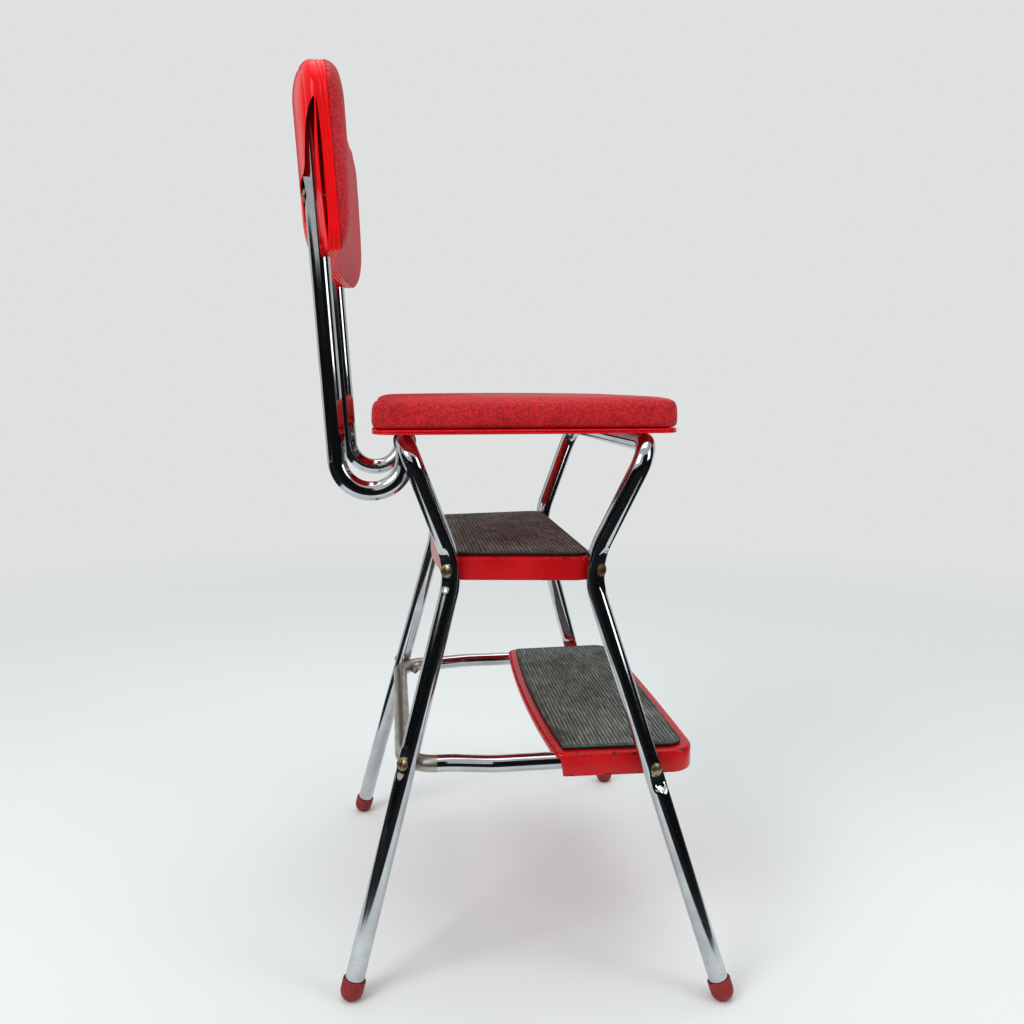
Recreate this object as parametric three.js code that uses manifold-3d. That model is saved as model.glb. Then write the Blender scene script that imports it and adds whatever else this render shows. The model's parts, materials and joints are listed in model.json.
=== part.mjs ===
// A retro kitchen step stool: a high padded chair on a chromed tube frame with two steel steps.
// The padded seat hinges at the rear crossbar and folds up against the back.
// Millimetres, +Z up, the front of the chair towards -Y, the right side towards +X,
// and the origin on the floor below the middle of the whole chair.

import * as THREE from 'three';
import * as BufferGeometryUtils from 'three/addons/utils/BufferGeometryUtils.js';
import Module from 'manifold-3d';

const wasm = await Module();
wasm.setup();

// Common sizes

const gap = 0.3; // left between two pieces that touch
const overrun = 4; // how far a drill or cutter runs past what it cuts
const sheet = 1.5; // pressed steel of the trays and pans
const right_side = 1;
const left_side = -1;
const sides = [right_side, left_side];

// Counts that set how finely round shapes are drawn

const tube_facets = 6; // segments of half a tube's circle
const bend_steps = 5;
const corner_steps = 4;
const bow_steps = 6;
const edge_steps = 2;
const turned_facets = 12;
const small_facets = 8;

// Leg frames, measured at the tube's axis

const tube_radius = 10;
const frame_top = 580; // the upper side of both crossbars
const crossbar_height = frame_top - tube_radius;
const waist_bend = 82;
const elbow_bend = 24;

const rear_foot_x = 212;
const rear_foot_y = 192;
const rear_waist_x = 151;
const rear_waist_y = 75;
const rear_top_x = 171;
const rear_top_y = 124.5;

const front_foot_x = 263;
const front_foot_y = -192.5;
const front_waist_x = 165;
const front_waist_y = -65.5;
const front_top_x = 198;
const front_top_y = -121;

// Upper step

const upper_step_height = 450; // top of the tray
const upper_apron = 25;
const upper_corner = 22;
const upper_bow_rear = 9;
const waist_height = upper_step_height - upper_apron / 2;
const upper_screw_angle_rear = 36; // degrees from the X axis
const upper_screw_angle_front = -39;

// Lower step

const lower_step_height = 244.5; // top of the tray
const lower_apron = 24.5;
const lower_front_y = -179;
const lower_rear_y = -25;
const lower_corner_front = 28;
const lower_corner_rear = 14;
const lower_taper = 4; // how much narrower the tray's rear is, on each side
const lower_bow_front = 2;
const lower_bow_rear = 7.5;
const lower_rear_flange = 6; // the shallow rolled edge along the tray's rear
const lower_rear_notch = 8; // how far forward the side aprons start
const lower_screw_angle_rear = 39;
const lower_screw_angle_front = -20;

const tray_edge_round = 3.5;

// Rubber mats

const mat_thickness = 3.5;
const mat_edge_round = 1.2;
const upper_mat_inset = 6;
const lower_mat_inset = 11;

// Rail of the lower step

const rail_radius = 9;
const rail_height = lower_step_height - sheet - gap - rail_radius;
const rail_corner_bend = 35;
const rail_flare_bend = 100;
const rail_flare_front_y = 38;
const rail_flare_rear_y = 84;
const rail_front_y = -140;
const rail_tuck = 1.6; // how far the arms run inside the tray's walls

// Screws and nuts

const screw_shank_radius = 2.5;
const screw_head_radius = 6.8;
const screw_head_edge = 1.2;
const screw_head_dome = 2.2;
const screw_slot_width = 1.5;
const screw_slot_depth = 1.6;
const screw_tip_chamfer = 0.8;
const nut_radius = 5.2; // across its corners
const nut_thickness = 4.5;
const dimple_depth = 2; // how far the leg is pressed flat below each screw head
const dimple_reach = 20; // along the tube, from the screw to where it is round again
const dimple_steps = 2;

// Rubber feet

const foot_radius = 12;
const foot_length = 22;
const foot_floor = 9; // where the tube ends, along the leg from the floor
const foot_wear = 1; // cut off the domed sole where it stands on the floor
const foot_lip_round = 0.8;
const foot_dome_steps = 4;

// Seat

const seat_half_width = 190;
const seat_front_y = -156;
const seat_rear_y = 158;
const seat_corner = 24;
const seat_side_draw = 2; // how far the sides are drawn in between the corners
const seat_top = 619;
const seat_crown = 2.5;
const seat_edge_round = 12;
const seat_rim_drop = 3.5; // the pan's rolled rim below its plate
const seat_rim_round = 2;
const seat_seam_tuck = 2;
const seat_seam_height = 4;
const seat_pan_bottom = frame_top;
const seat_pan_under = seat_pan_bottom + seat_rim_drop;
const seat_pan_top = seat_pan_under + sheet;
const seat_board_thickness = 6;
const seat_board_inset = 14;

// Seat hinge

const clip_place_x = 108;
const clip_width = 20;
const clip_wall = 1.7;
const clip_flange_half = 20;
const clip_flange_thickness = 2;
const clip_facets = 14;
const hinge_screw_offset = 13.5;
const hinge_screw_radius = 1.9;
const hinge_screw_length = 9;
const hinge_head_radius = 3.6;
const hinge_head_height = 1.8;
const hinge_slot_width = 0.9;
const hinge_slot_depth = 0.8;
const bumper_radius = 8;
const bumper_place_x = 120;

// Back tube

const back_tube_x = 143;
const back_crossbar_drop = 31.5; // from the back's shoulders down to the crossbar inside it
const back_elbow_bend = 58;
const hook_bend = 34.4;
const hook_bottom = 520; // the axis of the tube at the bottom of the hook
const hook_cope = 5; // the hook's ends start this far below the middle of the crossbar
const back_screw_rise = 56; // from the back's lower edge

// Padded back, as offsets from the curved sheet where its two shells meet

const back_half_width = 187;
const back_bottom = 756;
const back_height = 180.5; // from there to the top corners before rounding
const back_shoulder = back_bottom + back_height;
const back_crossbar_height = back_shoulder - back_crossbar_drop;
const back_screw_height = back_bottom + back_screw_rise;
const back_arch = 23.5;
const back_corner_top = 45;
const back_corner_bottom = 20;
const back_sheet_y = 193.5; // the sheet's y at its ends, level with its bottom
const back_lean = 0.058;
const back_bow = 13;
const cover_skin = 1.2;
const cover_depth = 7;
const cover_bulge = 13;
const cover_round = 42;
const back_pan_depth = 5;
const back_pan_round = 2;
const slit_half_width = 1.75;
const slit_closed_half = 0.2;
const slit_rise = 6; // from the back's lower edge up to the slit
const slit_drop = 41.5; // from the back's shoulders down to it
const slit_bottom = back_bottom + slit_rise;
const slit_top = back_shoulder - slit_drop;
const pad_depth_low = 26.5; // at the pad's bottom
const pad_depth_high = 29.5; // at its top
const pad_hollow = 3;
const pad_round = 27; // at the sides
const pad_lift = 13; // how much more the bottom edge is rounded than the sides, and the top less
const back_board_thickness = 5;
const back_board_inset = 16;
const panel_shrink_shares = [0.8, 0.5, 0.2];
const back_inner_draw = 40; // from here inwards every layer of the back has the same rings
const dome_steps = 3;
const back_edge_steps = 8; // steps of each edge of the back's outline
const layer_gap = 0.6; // between the curved layers of the back

// Colours

const chrome = { color: 0xc9cdd0, roughness: 0.12, metalness: 1 };
const worn_chrome = { color: 0xa9a49a, roughness: 0.45, metalness: 1 };
const brass = { color: 0xb7a285, roughness: 0.4, metalness: 1 };
const steel = { color: 0x8d8a84, roughness: 0.5, metalness: 1 };
const red_enamel = { color: 0xc8141a, roughness: 0.35, metalness: 0 };
const back_enamel = { color: 0xe4141a, roughness: 0.3, metalness: 0 };
const red_vinyl = { color: 0xb8282f, roughness: 0.5, metalness: 0 };
const red_rubber = { color: 0xb5303a, roughness: 0.7, metalness: 0 };
const black_rubber = { color: 0x3f3b38, roughness: 0.85, metalness: 0 };
const plywood = { color: 0xb08a5a, roughness: 0.8, metalness: 0 };

// Helpers: solids

const chair = new THREE.Group();

function add_piece(name, geometry, finish) {
	const mesh = new THREE.Mesh(geometry, new THREE.MeshStandardMaterial(finish));
	mesh.name = name;
	chair.add(mesh);
	return mesh;
}

// A closed geometry as a solid that can be joined and cut.
function to_solid(geometry) {
	const bare = geometry.clone();
	bare.deleteAttribute('normal');
	bare.deleteAttribute('uv');
	const merged = BufferGeometryUtils.mergeVertices(bare);
	return new wasm.Manifold(new wasm.Mesh({
		numProp: 3,
		vertProperties: Float32Array.from(merged.attributes.position.array),
		triVerts: Uint32Array.from(merged.index.array),
	}));
}

function from_solid(solid) {
	const mesh = solid.getMesh();
	const geometry = new THREE.BufferGeometry();
	geometry.setAttribute('position', new THREE.BufferAttribute(mesh.vertProperties, mesh.numProp));
	geometry.setIndex(new THREE.BufferAttribute(mesh.triVerts, 1));
	geometry.computeVertexNormals();
	return geometry;
}

// The geometry with every cutter taken out of it.
function cut(geometry, cutters) {
	let solid = to_solid(geometry);
	for (const cutter of cutters) {
		solid = solid.subtract(to_solid(cutter));
	}
	return from_solid(solid);
}

// The turn that brings +Y, along which turned pieces are made, to a direction.
function turn_from_up(direction) {
	return new THREE.Quaternion().setFromUnitVectors(new THREE.Vector3(0, 1, 0), direction);
}

// A round rod from one point to another.
function rod(radius, from, to, facets = small_facets) {
	const along = to.clone().sub(from);
	const geometry = new THREE.CylinderGeometry(radius, radius, along.length(), facets);
	geometry.applyQuaternion(turn_from_up(along.clone().normalize()));
	const middle = from.clone().add(to).divideScalar(2);
	geometry.translate(middle.x, middle.y, middle.z);
	return geometry;
}

function box_between(low, high) {
	const size = high.clone().sub(low);
	const geometry = new THREE.BoxGeometry(size.x, size.y, size.z);
	const middle = low.clone().add(high).divideScalar(2);
	geometry.translate(middle.x, middle.y, middle.z);
	return geometry;
}

function mirrored(point) {
	return new THREE.Vector3(-point.x, point.y, point.z);
}

function at_side(side, x, y, z) {
	return new THREE.Vector3(side * x, y, z);
}

// Helpers: bent tube

// The arc that rounds the corner between two straight runs.
function corner_arc(before, corner, after, radius) {
	const back = before.clone().sub(corner).normalize();
	const forth = after.clone().sub(corner).normalize();
	const half_angle = back.angleTo(forth) / 2;
	const inward = back.clone().add(forth).normalize();
	const centre = corner.clone().addScaledVector(inward, radius / Math.sin(half_angle));
	const start = corner.clone().addScaledVector(back, radius / Math.tan(half_angle));
	const spoke = start.clone().sub(centre);
	const axis = new THREE.Vector3().crossVectors(back, spoke).normalize();
	const sweep = Math.PI - 2 * half_angle;
	const at = (share) => spoke.clone().applyAxisAngle(axis, sweep * share).add(centre);
	return { at, apex: at(1 / 2) };
}

// The points of a tube's axis: straight runs between corners, an arc at each inner corner.
function bent_axis(corners, radii) {
	const stations = [corners[0]];
	for (let i = 1; i < corners.length - 1; i += 1) {
		const arc = corner_arc(corners[i - 1], corners[i], corners[i + 1], radii[i - 1]);
		for (let step = 0; step <= bend_steps; step += 1) {
			stations.push(arc.at(step / bend_steps));
		}
	}
	stations.push(corners[corners.length - 1]);
	return stations;
}

// A curve that passes through given stations, one for each step of the extrusion.
class StationCurve extends THREE.Curve {

	constructor(stations) {
		super();
		this.stations = stations;
	}

	place(t) {
		const last = this.stations.length - 1;
		const index = Math.min(Math.floor(t * last + Number.EPSILON * last), last - 1);
		return { index, share: t * last - index };
	}

	getPoint(t) {
		const { index, share } = this.place(t);
		return this.stations[index].clone().lerp(this.stations[index + 1], share);
	}

	getTangent(t) {
		const last = this.stations.length - 1;
		const nearest = Math.round(t * last);
		const here = this.stations[nearest];
		const tangent = new THREE.Vector3();
		if (nearest > 0) {
			tangent.add(here.clone().sub(this.stations[nearest - 1]).normalize());
		}
		if (nearest < last) {
			tangent.add(this.stations[nearest + 1].clone().sub(here).normalize());
		}
		return tangent.normalize();
	}

	getUtoTmapping(u) {
		return u;
	}

}

function tube(radius, stations) {
	const section = new THREE.Shape().absarc(0, 0, radius, 0, 2 * Math.PI, false);
	return new THREE.ExtrudeGeometry(section, {
		steps: stations.length - 1,
		curveSegments: tube_facets,
		extrudePath: new StationCurve(stations),
	});
}

// More stations along a straight run, where a screw goes through the tube.
function with_dimple_stations(stations, centre) {
	const dense = [];
	const reach = (step) => dimple_reach * step / dimple_steps;
	stations.forEach((point, i) => {
		const previous = stations[i - 1];
		if (previous) {
			const along = point.clone().sub(previous).normalize();
			const place = centre.clone().sub(previous).dot(along);
			const length = point.distanceTo(previous);
			const off_axis = previous.clone().addScaledVector(along, place).distanceTo(centre);
			for (let step = -dimple_steps; step <= dimple_steps; step += 1) {
				const at = place + reach(step);
				if (off_axis < gap && at > gap && at < length - gap) {
					dense.push(previous.clone().addScaledVector(along, at));
				}
			}
		}
		dense.push(point);
	});
	return dense;
}

// Presses the tube flat on both sides of a screw, as far as the head reaches, and lets it grow
// round again along the tube.
function dimple(geometry, centre, out) {
	const position = geometry.attributes.position;
	const point = new THREE.Vector3();
	for (let i = 0; i < position.count; i += 1) {
		point.fromBufferAttribute(position, i);
		const offset = point.clone().sub(centre);
		const height = offset.dot(out);
		const away = offset.clone().addScaledVector(out, -height).length();
		const past_head = Math.max(away - screw_head_radius, 0) / (dimple_reach - screw_head_radius);
		if (past_head < 1 && Math.abs(height) < 2 * tube_radius) {
			const fade = (1 + Math.cos(Math.PI * past_head)) / 2;
			const limit = tube_radius - dimple_depth * fade;
			const pressed = THREE.MathUtils.clamp(height, -limit, limit);
			point.addScaledVector(out, pressed - height);
			position.setXYZ(i, point.x, point.y, point.z);
		}
	}
}

// Helpers: outlines and lofts

// Steps of each edge: a straight one needs no points between its ends.
function edge_counts(bows) {
	return bows.map((bow) => (bow === 0 ? 1 : bow_steps));
}

// A closed outline round arcs given by their centres, with bowed edges between them, as points
// with their outward normals. The arcs run anticlockwise. bows[i] and steps[i] belong to the
// edge from arc i to the next.
function rounded_outline(centres, radii, bows, steps = edge_counts(bows)) {
	const count = centres.length;
	const wrap = (i) => (i + count) % count;
	const edges = centres.map((centre, i) => {
		const span = centres[wrap(i + 1)].clone().sub(centre);
		const splay = Math.asin((radii[i] - radii[wrap(i + 1)]) / span.length());
		return {
			facing: span.angle() - Math.PI / 2 + splay,
			slope: Math.atan2(4 * bows[i], span.length()),
		};
	});
	const arcs = centres.map((centre, i) => {
		const first_angle = edges[wrap(i - 1)].facing + edges[wrap(i - 1)].slope;
		const last_angle = edges[i].facing - edges[i].slope;
		const turn = THREE.MathUtils.euclideanModulo(last_angle - first_angle, 2 * Math.PI);
		return { centre, radius: radii[i], first_angle, turn };
	});
	const at = (arc, share) => {
		const angle = arc.first_angle + arc.turn * share;
		const normal = new THREE.Vector2(Math.cos(angle), Math.sin(angle));
		return { point: arc.centre.clone().addScaledVector(normal, arc.radius), normal };
	};
	const outline = [];
	arcs.forEach((arc, i) => {
		for (let step = 0; step <= corner_steps; step += 1) {
			outline.push(at(arc, step / corner_steps));
		}
		const start = at(arc, 1);
		const end = at(arcs[wrap(i + 1)], 0);
		const span = end.point.clone().sub(start.point);
		const rise = span.length() * Math.tan(edges[i].slope) / 4;
		const outward = new THREE.Vector2(span.y, -span.x).normalize();
		for (let step = 1; step < steps[i]; step += 1) {
			const share = step / steps[i];
			const point = start.point.clone().addScaledVector(span, share);
			point.addScaledVector(outward, 4 * rise * share * (1 - share));
			const normal = start.normal.clone().lerp(end.normal, share).normalize();
			outline.push({ point, normal });
		}
	});
	return outline;
}

// Points anticlockwise from the front left, alike left and right.
function mirror_points(front_x, front_y, rear_x, rear_y) {
	return [
		new THREE.Vector2(-front_x, front_y),
		new THREE.Vector2(front_x, front_y),
		new THREE.Vector2(rear_x, rear_y),
		new THREE.Vector2(-rear_x, rear_y),
	];
}

// An outline with straight or bowed sides from the places of its sides at the corners.
function panel_outline({ front_half, rear_half, front, rear, radius_front, radius_rear, bows, steps }) {
	return rounded_outline(
		mirror_points(
			front_half - radius_front, front + radius_front,
			rear_half - radius_rear, rear - radius_rear),
		[radius_front, radius_front, radius_rear, radius_rear],
		bows,
		steps);
}

// One ring of a loft: the outline moved inwards by inset, narrowed by draw on every side and
// shrunk about its middle, moved by lift along y, at a given height. Unlike inset, draw may
// pass the corner's radius. height is a number or a function of the point's place in the plane.
function ring(outline, { inset = 0, draw = 0, shrink = 1, lift = 0, height }) {
	const bounds = new THREE.Box2().setFromPoints(outline.map(({ point }) => point));
	const middle = bounds.getCenter(new THREE.Vector2());
	const half = bounds.getSize(new THREE.Vector2()).divideScalar(2);
	return outline.map(({ point, normal }) => {
		const moved = point.clone().addScaledVector(normal, -inset).sub(middle);
		moved.x *= shrink * (1 - draw / half.x);
		moved.y *= shrink * (1 - draw / half.y);
		moved.add(middle);
		moved.y += lift;
		const level = typeof height === 'function' ? height(moved.x, moved.y) : height;
		return new THREE.Vector3(moved.x, moved.y, level);
	});
}

// A closed solid through rings that run anticlockwise, from the face that looks down to the
// face that looks up. place puts a ring's point in space.
function loft(rings, place = (point) => point) {
	const count = rings[0].length;
	const positions = rings.flat().flatMap((point) => place(point).toArray());
	const index = [];
	for (let level = 0; level < rings.length - 1; level += 1) {
		for (let i = 0; i < count; i += 1) {
			const a = level * count + i;
			const b = level * count + (i + 1) % count;
			index.push(a, b, b + count, a, b + count, a + count);
		}
	}
	const cap = (level, faces_up) => {
		const flat = rings[level].map((point) => new THREE.Vector2(point.x, point.y));
		for (const [a, b, c] of THREE.ShapeUtils.triangulateShape(flat, [])) {
			const start = level * count;
			index.push(start + a, start + (faces_up ? b : c), start + (faces_up ? c : b));
		}
	};
	cap(0, false);
	cap(rings.length - 1, true);
	const geometry = new THREE.BufferGeometry();
	geometry.setAttribute('position', new THREE.Float32BufferAttribute(positions, 3));
	geometry.setIndex(index);
	geometry.computeVertexNormals();
	return geometry;
}

// Rings that round an edge from an upright wall into a flat face, ending at the given height.
function rounded_edge(outline, inset, radius, top) {
	const rings = [];
	for (let step = 0; step <= edge_steps; step += 1) {
		const angle = Math.PI / 2 * step / edge_steps;
		rings.push(ring(outline, {
			inset: inset + radius * (1 - Math.cos(angle)),
			height: top - radius * (1 - Math.sin(angle)),
		}));
	}
	return rings;
}

// A pressed steel panel: a flat plate with a rounded edge and a wall that hangs down all round.
function pressed_panel(outline, top, drop, round) {
	const inside = rounded_edge(outline, sheet, round - sheet, top - sheet).reverse();
	return loft([
		...inside,
		ring(outline, { inset: sheet, height: top - drop }),
		ring(outline, { height: top - drop }),
		...rounded_edge(outline, 0, round, top),
	]);
}

function mat(outline, inset, floor) {
	return loft([
		ring(outline, { inset, height: floor }),
		...rounded_edge(outline, inset, mat_edge_round, floor + mat_thickness),
	]);
}

// Leg frames

function frame_corners(foot_x, foot_y, waist_x, waist_y, top_x, top_y) {
	const foot = new THREE.Vector3(foot_x, foot_y, 0);
	const waist = new THREE.Vector3(waist_x, waist_y, waist_height);
	const top = new THREE.Vector3(top_x, top_y, crossbar_height);
	const up = waist.clone().sub(foot).normalize();
	const tube_end = foot.clone().addScaledVector(up, foot_floor + gap);
	const half = [tube_end, waist, top];
	const corners = [...half, ...half.map(mirrored).reverse()];
	const radii = [waist_bend, elbow_bend, elbow_bend, waist_bend];
	const waist_apex = corner_arc(tube_end, waist, top, waist_bend).apex;
	return { foot, up, waist_apex, axis: bent_axis(corners, radii) };
}

const rear_frame = frame_corners(
	rear_foot_x, rear_foot_y, rear_waist_x, rear_waist_y, rear_top_x, rear_top_y);
const front_frame = frame_corners(
	front_foot_x, front_foot_y, front_waist_x, front_waist_y, front_top_x, front_top_y);

// The middle of the right leg at a height below its waist.
function leg_at(frame, height) {
	return frame.foot.clone().addScaledVector(frame.up, height / frame.up.z);
}

// The outward direction of a screw on the right side, level and turned from the X axis.
function screw_direction(degrees) {
	const angle = THREE.MathUtils.degToRad(degrees);
	return new THREE.Vector3(Math.cos(angle), Math.sin(angle), 0);
}

// The same direction tilted so that it stands square to the leg.
function square_to_leg(out, frame) {
	return out.clone().addScaledVector(frame.up, -out.dot(frame.up)).normalize();
}

const pressed_radius = tube_radius - dimple_depth;

// Trays

// The middle of a tray corner's arc that nests against a leg, on the line of its screw.
function nested_corner(leg, out, radius) {
	return leg.clone().addScaledVector(out, -(pressed_radius + gap + radius));
}

const upper_out_rear = screw_direction(upper_screw_angle_rear);
const upper_out_front = screw_direction(upper_screw_angle_front);
const upper_nest_rear = nested_corner(rear_frame.waist_apex, upper_out_rear, upper_corner);
const upper_nest_front = nested_corner(front_frame.waist_apex, upper_out_front, upper_corner);

const upper_outline = rounded_outline(
	mirror_points(
		upper_nest_front.x, upper_nest_front.y, upper_nest_rear.x, upper_nest_rear.y),
	[upper_corner, upper_corner, upper_corner, upper_corner],
	[0, 0, upper_bow_rear, 0]);

const front_leg_low = leg_at(front_frame, rail_height);
const front_leg_at_tray = leg_at(front_frame, lower_step_height);
const lower_half_width = front_leg_at_tray.x - tube_radius / front_frame.up.z - gap;
const lower_rear_half = lower_half_width - lower_taper;
const lower_outline = panel_outline({
	front_half: lower_half_width,
	rear_half: lower_rear_half,
	front: lower_front_y,
	rear: lower_rear_y,
	radius_front: lower_corner_front,
	radius_rear: lower_corner_rear,
	bows: [lower_bow_front, 0, lower_bow_rear, 0],
});

// Rail of the lower step

// The rear screws stand square to the leg, so they rise outwards, and the rail touches the
// leg's pressed side along them.
const lower_out_rear = square_to_leg(screw_direction(lower_screw_angle_rear), rear_frame);
const lower_out_front = screw_direction(lower_screw_angle_front);
const rail_to_leg = pressed_radius + gap + rail_radius;
const rear_leg_low = leg_at(rear_frame, rail_height + lower_out_rear.z * rail_to_leg);
const rail_touch = rear_leg_low.clone().addScaledVector(lower_out_rear, -rail_to_leg);
const rail_outward = new THREE.Vector3(lower_out_rear.x, lower_out_rear.y, 0).normalize();
const rail_nest = rail_touch.clone().addScaledVector(rail_outward, -rail_corner_bend);
const rail_rear_x = rail_nest.x + rail_corner_bend;
const rail_rear_y = rail_nest.y + rail_corner_bend;
const rail_arm_x = lower_rear_half - sheet - rail_tuck - rail_radius;
const rail_half = [
	new THREE.Vector3(rail_arm_x, rail_front_y, rail_height),
	new THREE.Vector3(rail_arm_x, rail_flare_front_y, rail_height),
	new THREE.Vector3(rail_rear_x, rail_flare_rear_y, rail_height),
	new THREE.Vector3(rail_rear_x, rail_rear_y, rail_height),
];
const rail_axis = bent_axis(
	[...rail_half, ...rail_half.map(mirrored).reverse()],
	[
		rail_flare_bend, rail_flare_bend, rail_corner_bend,
		rail_corner_bend, rail_flare_bend, rail_flare_bend,
	]);

// Screws and their nuts

// How far a nut's corners keep its middle from the inside of a curved wall.
function nut_tuck(wall_radius) {
	return wall_radius - Math.sqrt(wall_radius ** 2 - nut_radius ** 2);
}

const upper_nut_depth = pressed_radius + gap + sheet + nut_tuck(upper_corner - sheet) + gap;
const rail_nut_depth = rail_to_leg + rail_radius + nut_tuck(rail_corner_bend - rail_radius) + gap;
const front_slant = THREE.MathUtils.degToRad(Math.abs(lower_screw_angle_front));
const front_nut_depth = (front_leg_low.x - rail_arm_x + rail_radius) / Math.cos(front_slant)
	+ nut_radius * Math.tan(front_slant) + gap;

// Where each step screw sits on the right side: middle of the leg, outward direction, and the
// distance from the leg's middle to the nut's outer face.
const upper_screws = [
	{ place: 'upper_step', end: 'rear', leg: rear_frame.waist_apex, out: upper_out_rear },
	{ place: 'upper_step', end: 'front', leg: front_frame.waist_apex, out: upper_out_front },
].map((screw) => ({ ...screw, depth: upper_nut_depth }));
const lower_screws = [{
	place: 'lower_step', end: 'rear', leg: rear_leg_low, out: lower_out_rear, depth: rail_nut_depth,
}, {
	place: 'lower_step', end: 'front', leg: front_leg_low, out: lower_out_front,
	depth: front_nut_depth,
}];
const step_screws = [...upper_screws, ...lower_screws];

function screw_geometry(length) {
	const dome_radius = (screw_head_radius ** 2 + screw_head_dome ** 2) / (2 * screw_head_dome);
	const dome_angle = Math.asin(screw_head_radius / dome_radius);
	const profile = [
		new THREE.Vector2(0, -length),
		new THREE.Vector2(screw_shank_radius - screw_tip_chamfer, -length),
		new THREE.Vector2(screw_shank_radius, -length + screw_tip_chamfer),
		new THREE.Vector2(screw_shank_radius, 0),
		new THREE.Vector2(screw_head_radius, 0),
	];
	const head_top = screw_head_edge + screw_head_dome;
	for (let step = edge_steps; step >= 0; step -= 1) {
		const angle = dome_angle * step / edge_steps;
		const drop = dome_radius * (1 - Math.cos(angle));
		profile.push(new THREE.Vector2(dome_radius * Math.sin(angle), head_top - drop));
	}
	const body = new THREE.LatheGeometry(profile, turned_facets);
	const slot_end = screw_head_radius + overrun;
	const slot = box_between(
		new THREE.Vector3(-slot_end, head_top - screw_slot_depth, -screw_slot_width / 2),
		new THREE.Vector3(slot_end, head_top + overrun, screw_slot_width / 2));
	return cut(body, [slot]);
}

function nut_geometry() {
	const body = new THREE.CylinderGeometry(nut_radius, nut_radius, nut_thickness, 6);
	const bore = new THREE.CylinderGeometry(
		screw_shank_radius + gap, screw_shank_radius + gap, nut_thickness + 2 * overrun, small_facets);
	return cut(body, [bore]);
}

// Turns a piece's +Y to a direction and puts it at a point.
function aim(mesh, point, direction) {
	mesh.position.copy(point);
	mesh.quaternion.copy(turn_from_up(direction));
}

function side_name(side) {
	return side === right_side ? 'right' : 'left';
}

// The drills for one kind of screw, on both sides of the chair.
function drills(screws) {
	return screws.flatMap(({ leg, out, depth }) => sides.map((side) => {
		const from = leg.clone().addScaledVector(out, tube_radius + overrun);
		const to = leg.clone().addScaledVector(out, -(depth + nut_thickness + overrun));
		const turned = side === right_side ? [from, to] : [mirrored(from), mirrored(to)];
		return rod(screw_shank_radius + gap, ...turned);
	}));
}

const nut = nut_geometry();
for (const { place, end, leg, out, depth } of step_screws) {
	const shank = depth + nut_thickness + pressed_radius + gap;
	const screw = screw_geometry(shank);
	for (const side of sides) {
		const middle = side === right_side ? leg : mirrored(leg);
		const outward = side === right_side ? out : mirrored(out);
		const head = middle.clone().addScaledVector(outward, pressed_radius + gap);
		const nut_middle = middle.clone().addScaledVector(outward, -(depth + nut_thickness / 2));
		const tail = `${end}_${side_name(side)}`;
		aim(add_piece(`${place}_screw_${tail}`, screw, brass), head, outward);
		aim(add_piece(`${place}_nut_${tail}`, nut, steel), nut_middle, outward);
	}
}

const upper_drills = drills(upper_screws);
const lower_drills = drills(lower_screws);
const rear_screws = step_screws.filter(({ end }) => end === 'rear');
const front_screws = step_screws.filter(({ end }) => end === 'front');
const rear_drills = drills(rear_screws);
const front_drills = drills(front_screws);

// Frames with their dimples and drilled holes

function leg_frame(frame, screws, cutters) {
	const screw_middles = screws.flatMap(({ leg }) => [leg, mirrored(leg)]);
	const axis = screw_middles.reduce(with_dimple_stations, frame.axis);
	const geometry = tube(tube_radius, axis);
	for (const { leg, out } of screws) {
		dimple(geometry, leg, out);
		dimple(geometry, mirrored(leg), mirrored(out));
	}
	return cut(geometry, cutters);
}

add_piece('rear_leg_frame', leg_frame(rear_frame, rear_screws, rear_drills), chrome);
add_piece('front_leg_frame', leg_frame(front_frame, front_screws, front_drills), chrome);
add_piece('lower_step_rail', cut(tube(rail_radius, rail_axis), lower_drills), worn_chrome);

// Trays and mats

const upper_tray = pressed_panel(upper_outline, upper_step_height, upper_apron, tray_edge_round);
add_piece('upper_step_tray', cut(upper_tray, upper_drills), red_enamel);
add_piece('upper_step_mat', mat(upper_outline, upper_mat_inset, upper_step_height + gap), black_rubber);

// The side aprons start a little in front of the rear corners, the rear has only a shallow
// flange, and the rail's arms pass below the plate.
const lower_floor = lower_step_height - lower_apron - overrun;
const lower_rear_end = lower_rear_y + lower_bow_rear + overrun;
const rear_cutter = box_between(
	new THREE.Vector3(-lower_half_width - overrun, lower_rear_y - lower_rear_notch, lower_floor),
	new THREE.Vector3(
		lower_half_width + overrun, lower_rear_end, lower_step_height - lower_rear_flange));
const arm_notches = sides.map((side) => {
	const inner = rail_arm_x - rail_radius - gap;
	const outer = lower_rear_half + overrun;
	const low_x = Math.min(side * inner, side * outer);
	const high_x = Math.max(side * inner, side * outer);
	return box_between(
		new THREE.Vector3(low_x, lower_rear_y - lower_rear_notch, lower_floor),
		new THREE.Vector3(high_x, lower_rear_end, lower_step_height - sheet));
});
const lower_tray = pressed_panel(lower_outline, lower_step_height, lower_apron, tray_edge_round);
const lower_cutters = [...lower_drills, rear_cutter, ...arm_notches];
add_piece('lower_step_tray', cut(lower_tray, lower_cutters), red_enamel);
add_piece('lower_step_mat', mat(lower_outline, lower_mat_inset, lower_step_height + gap), black_rubber);

// Rubber feet, turned about the leg and cut level with the floor

// The bore is widened so that its flat facets clear the tube.
const foot_bore = (tube_radius + gap) / Math.cos(Math.PI / turned_facets);

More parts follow.
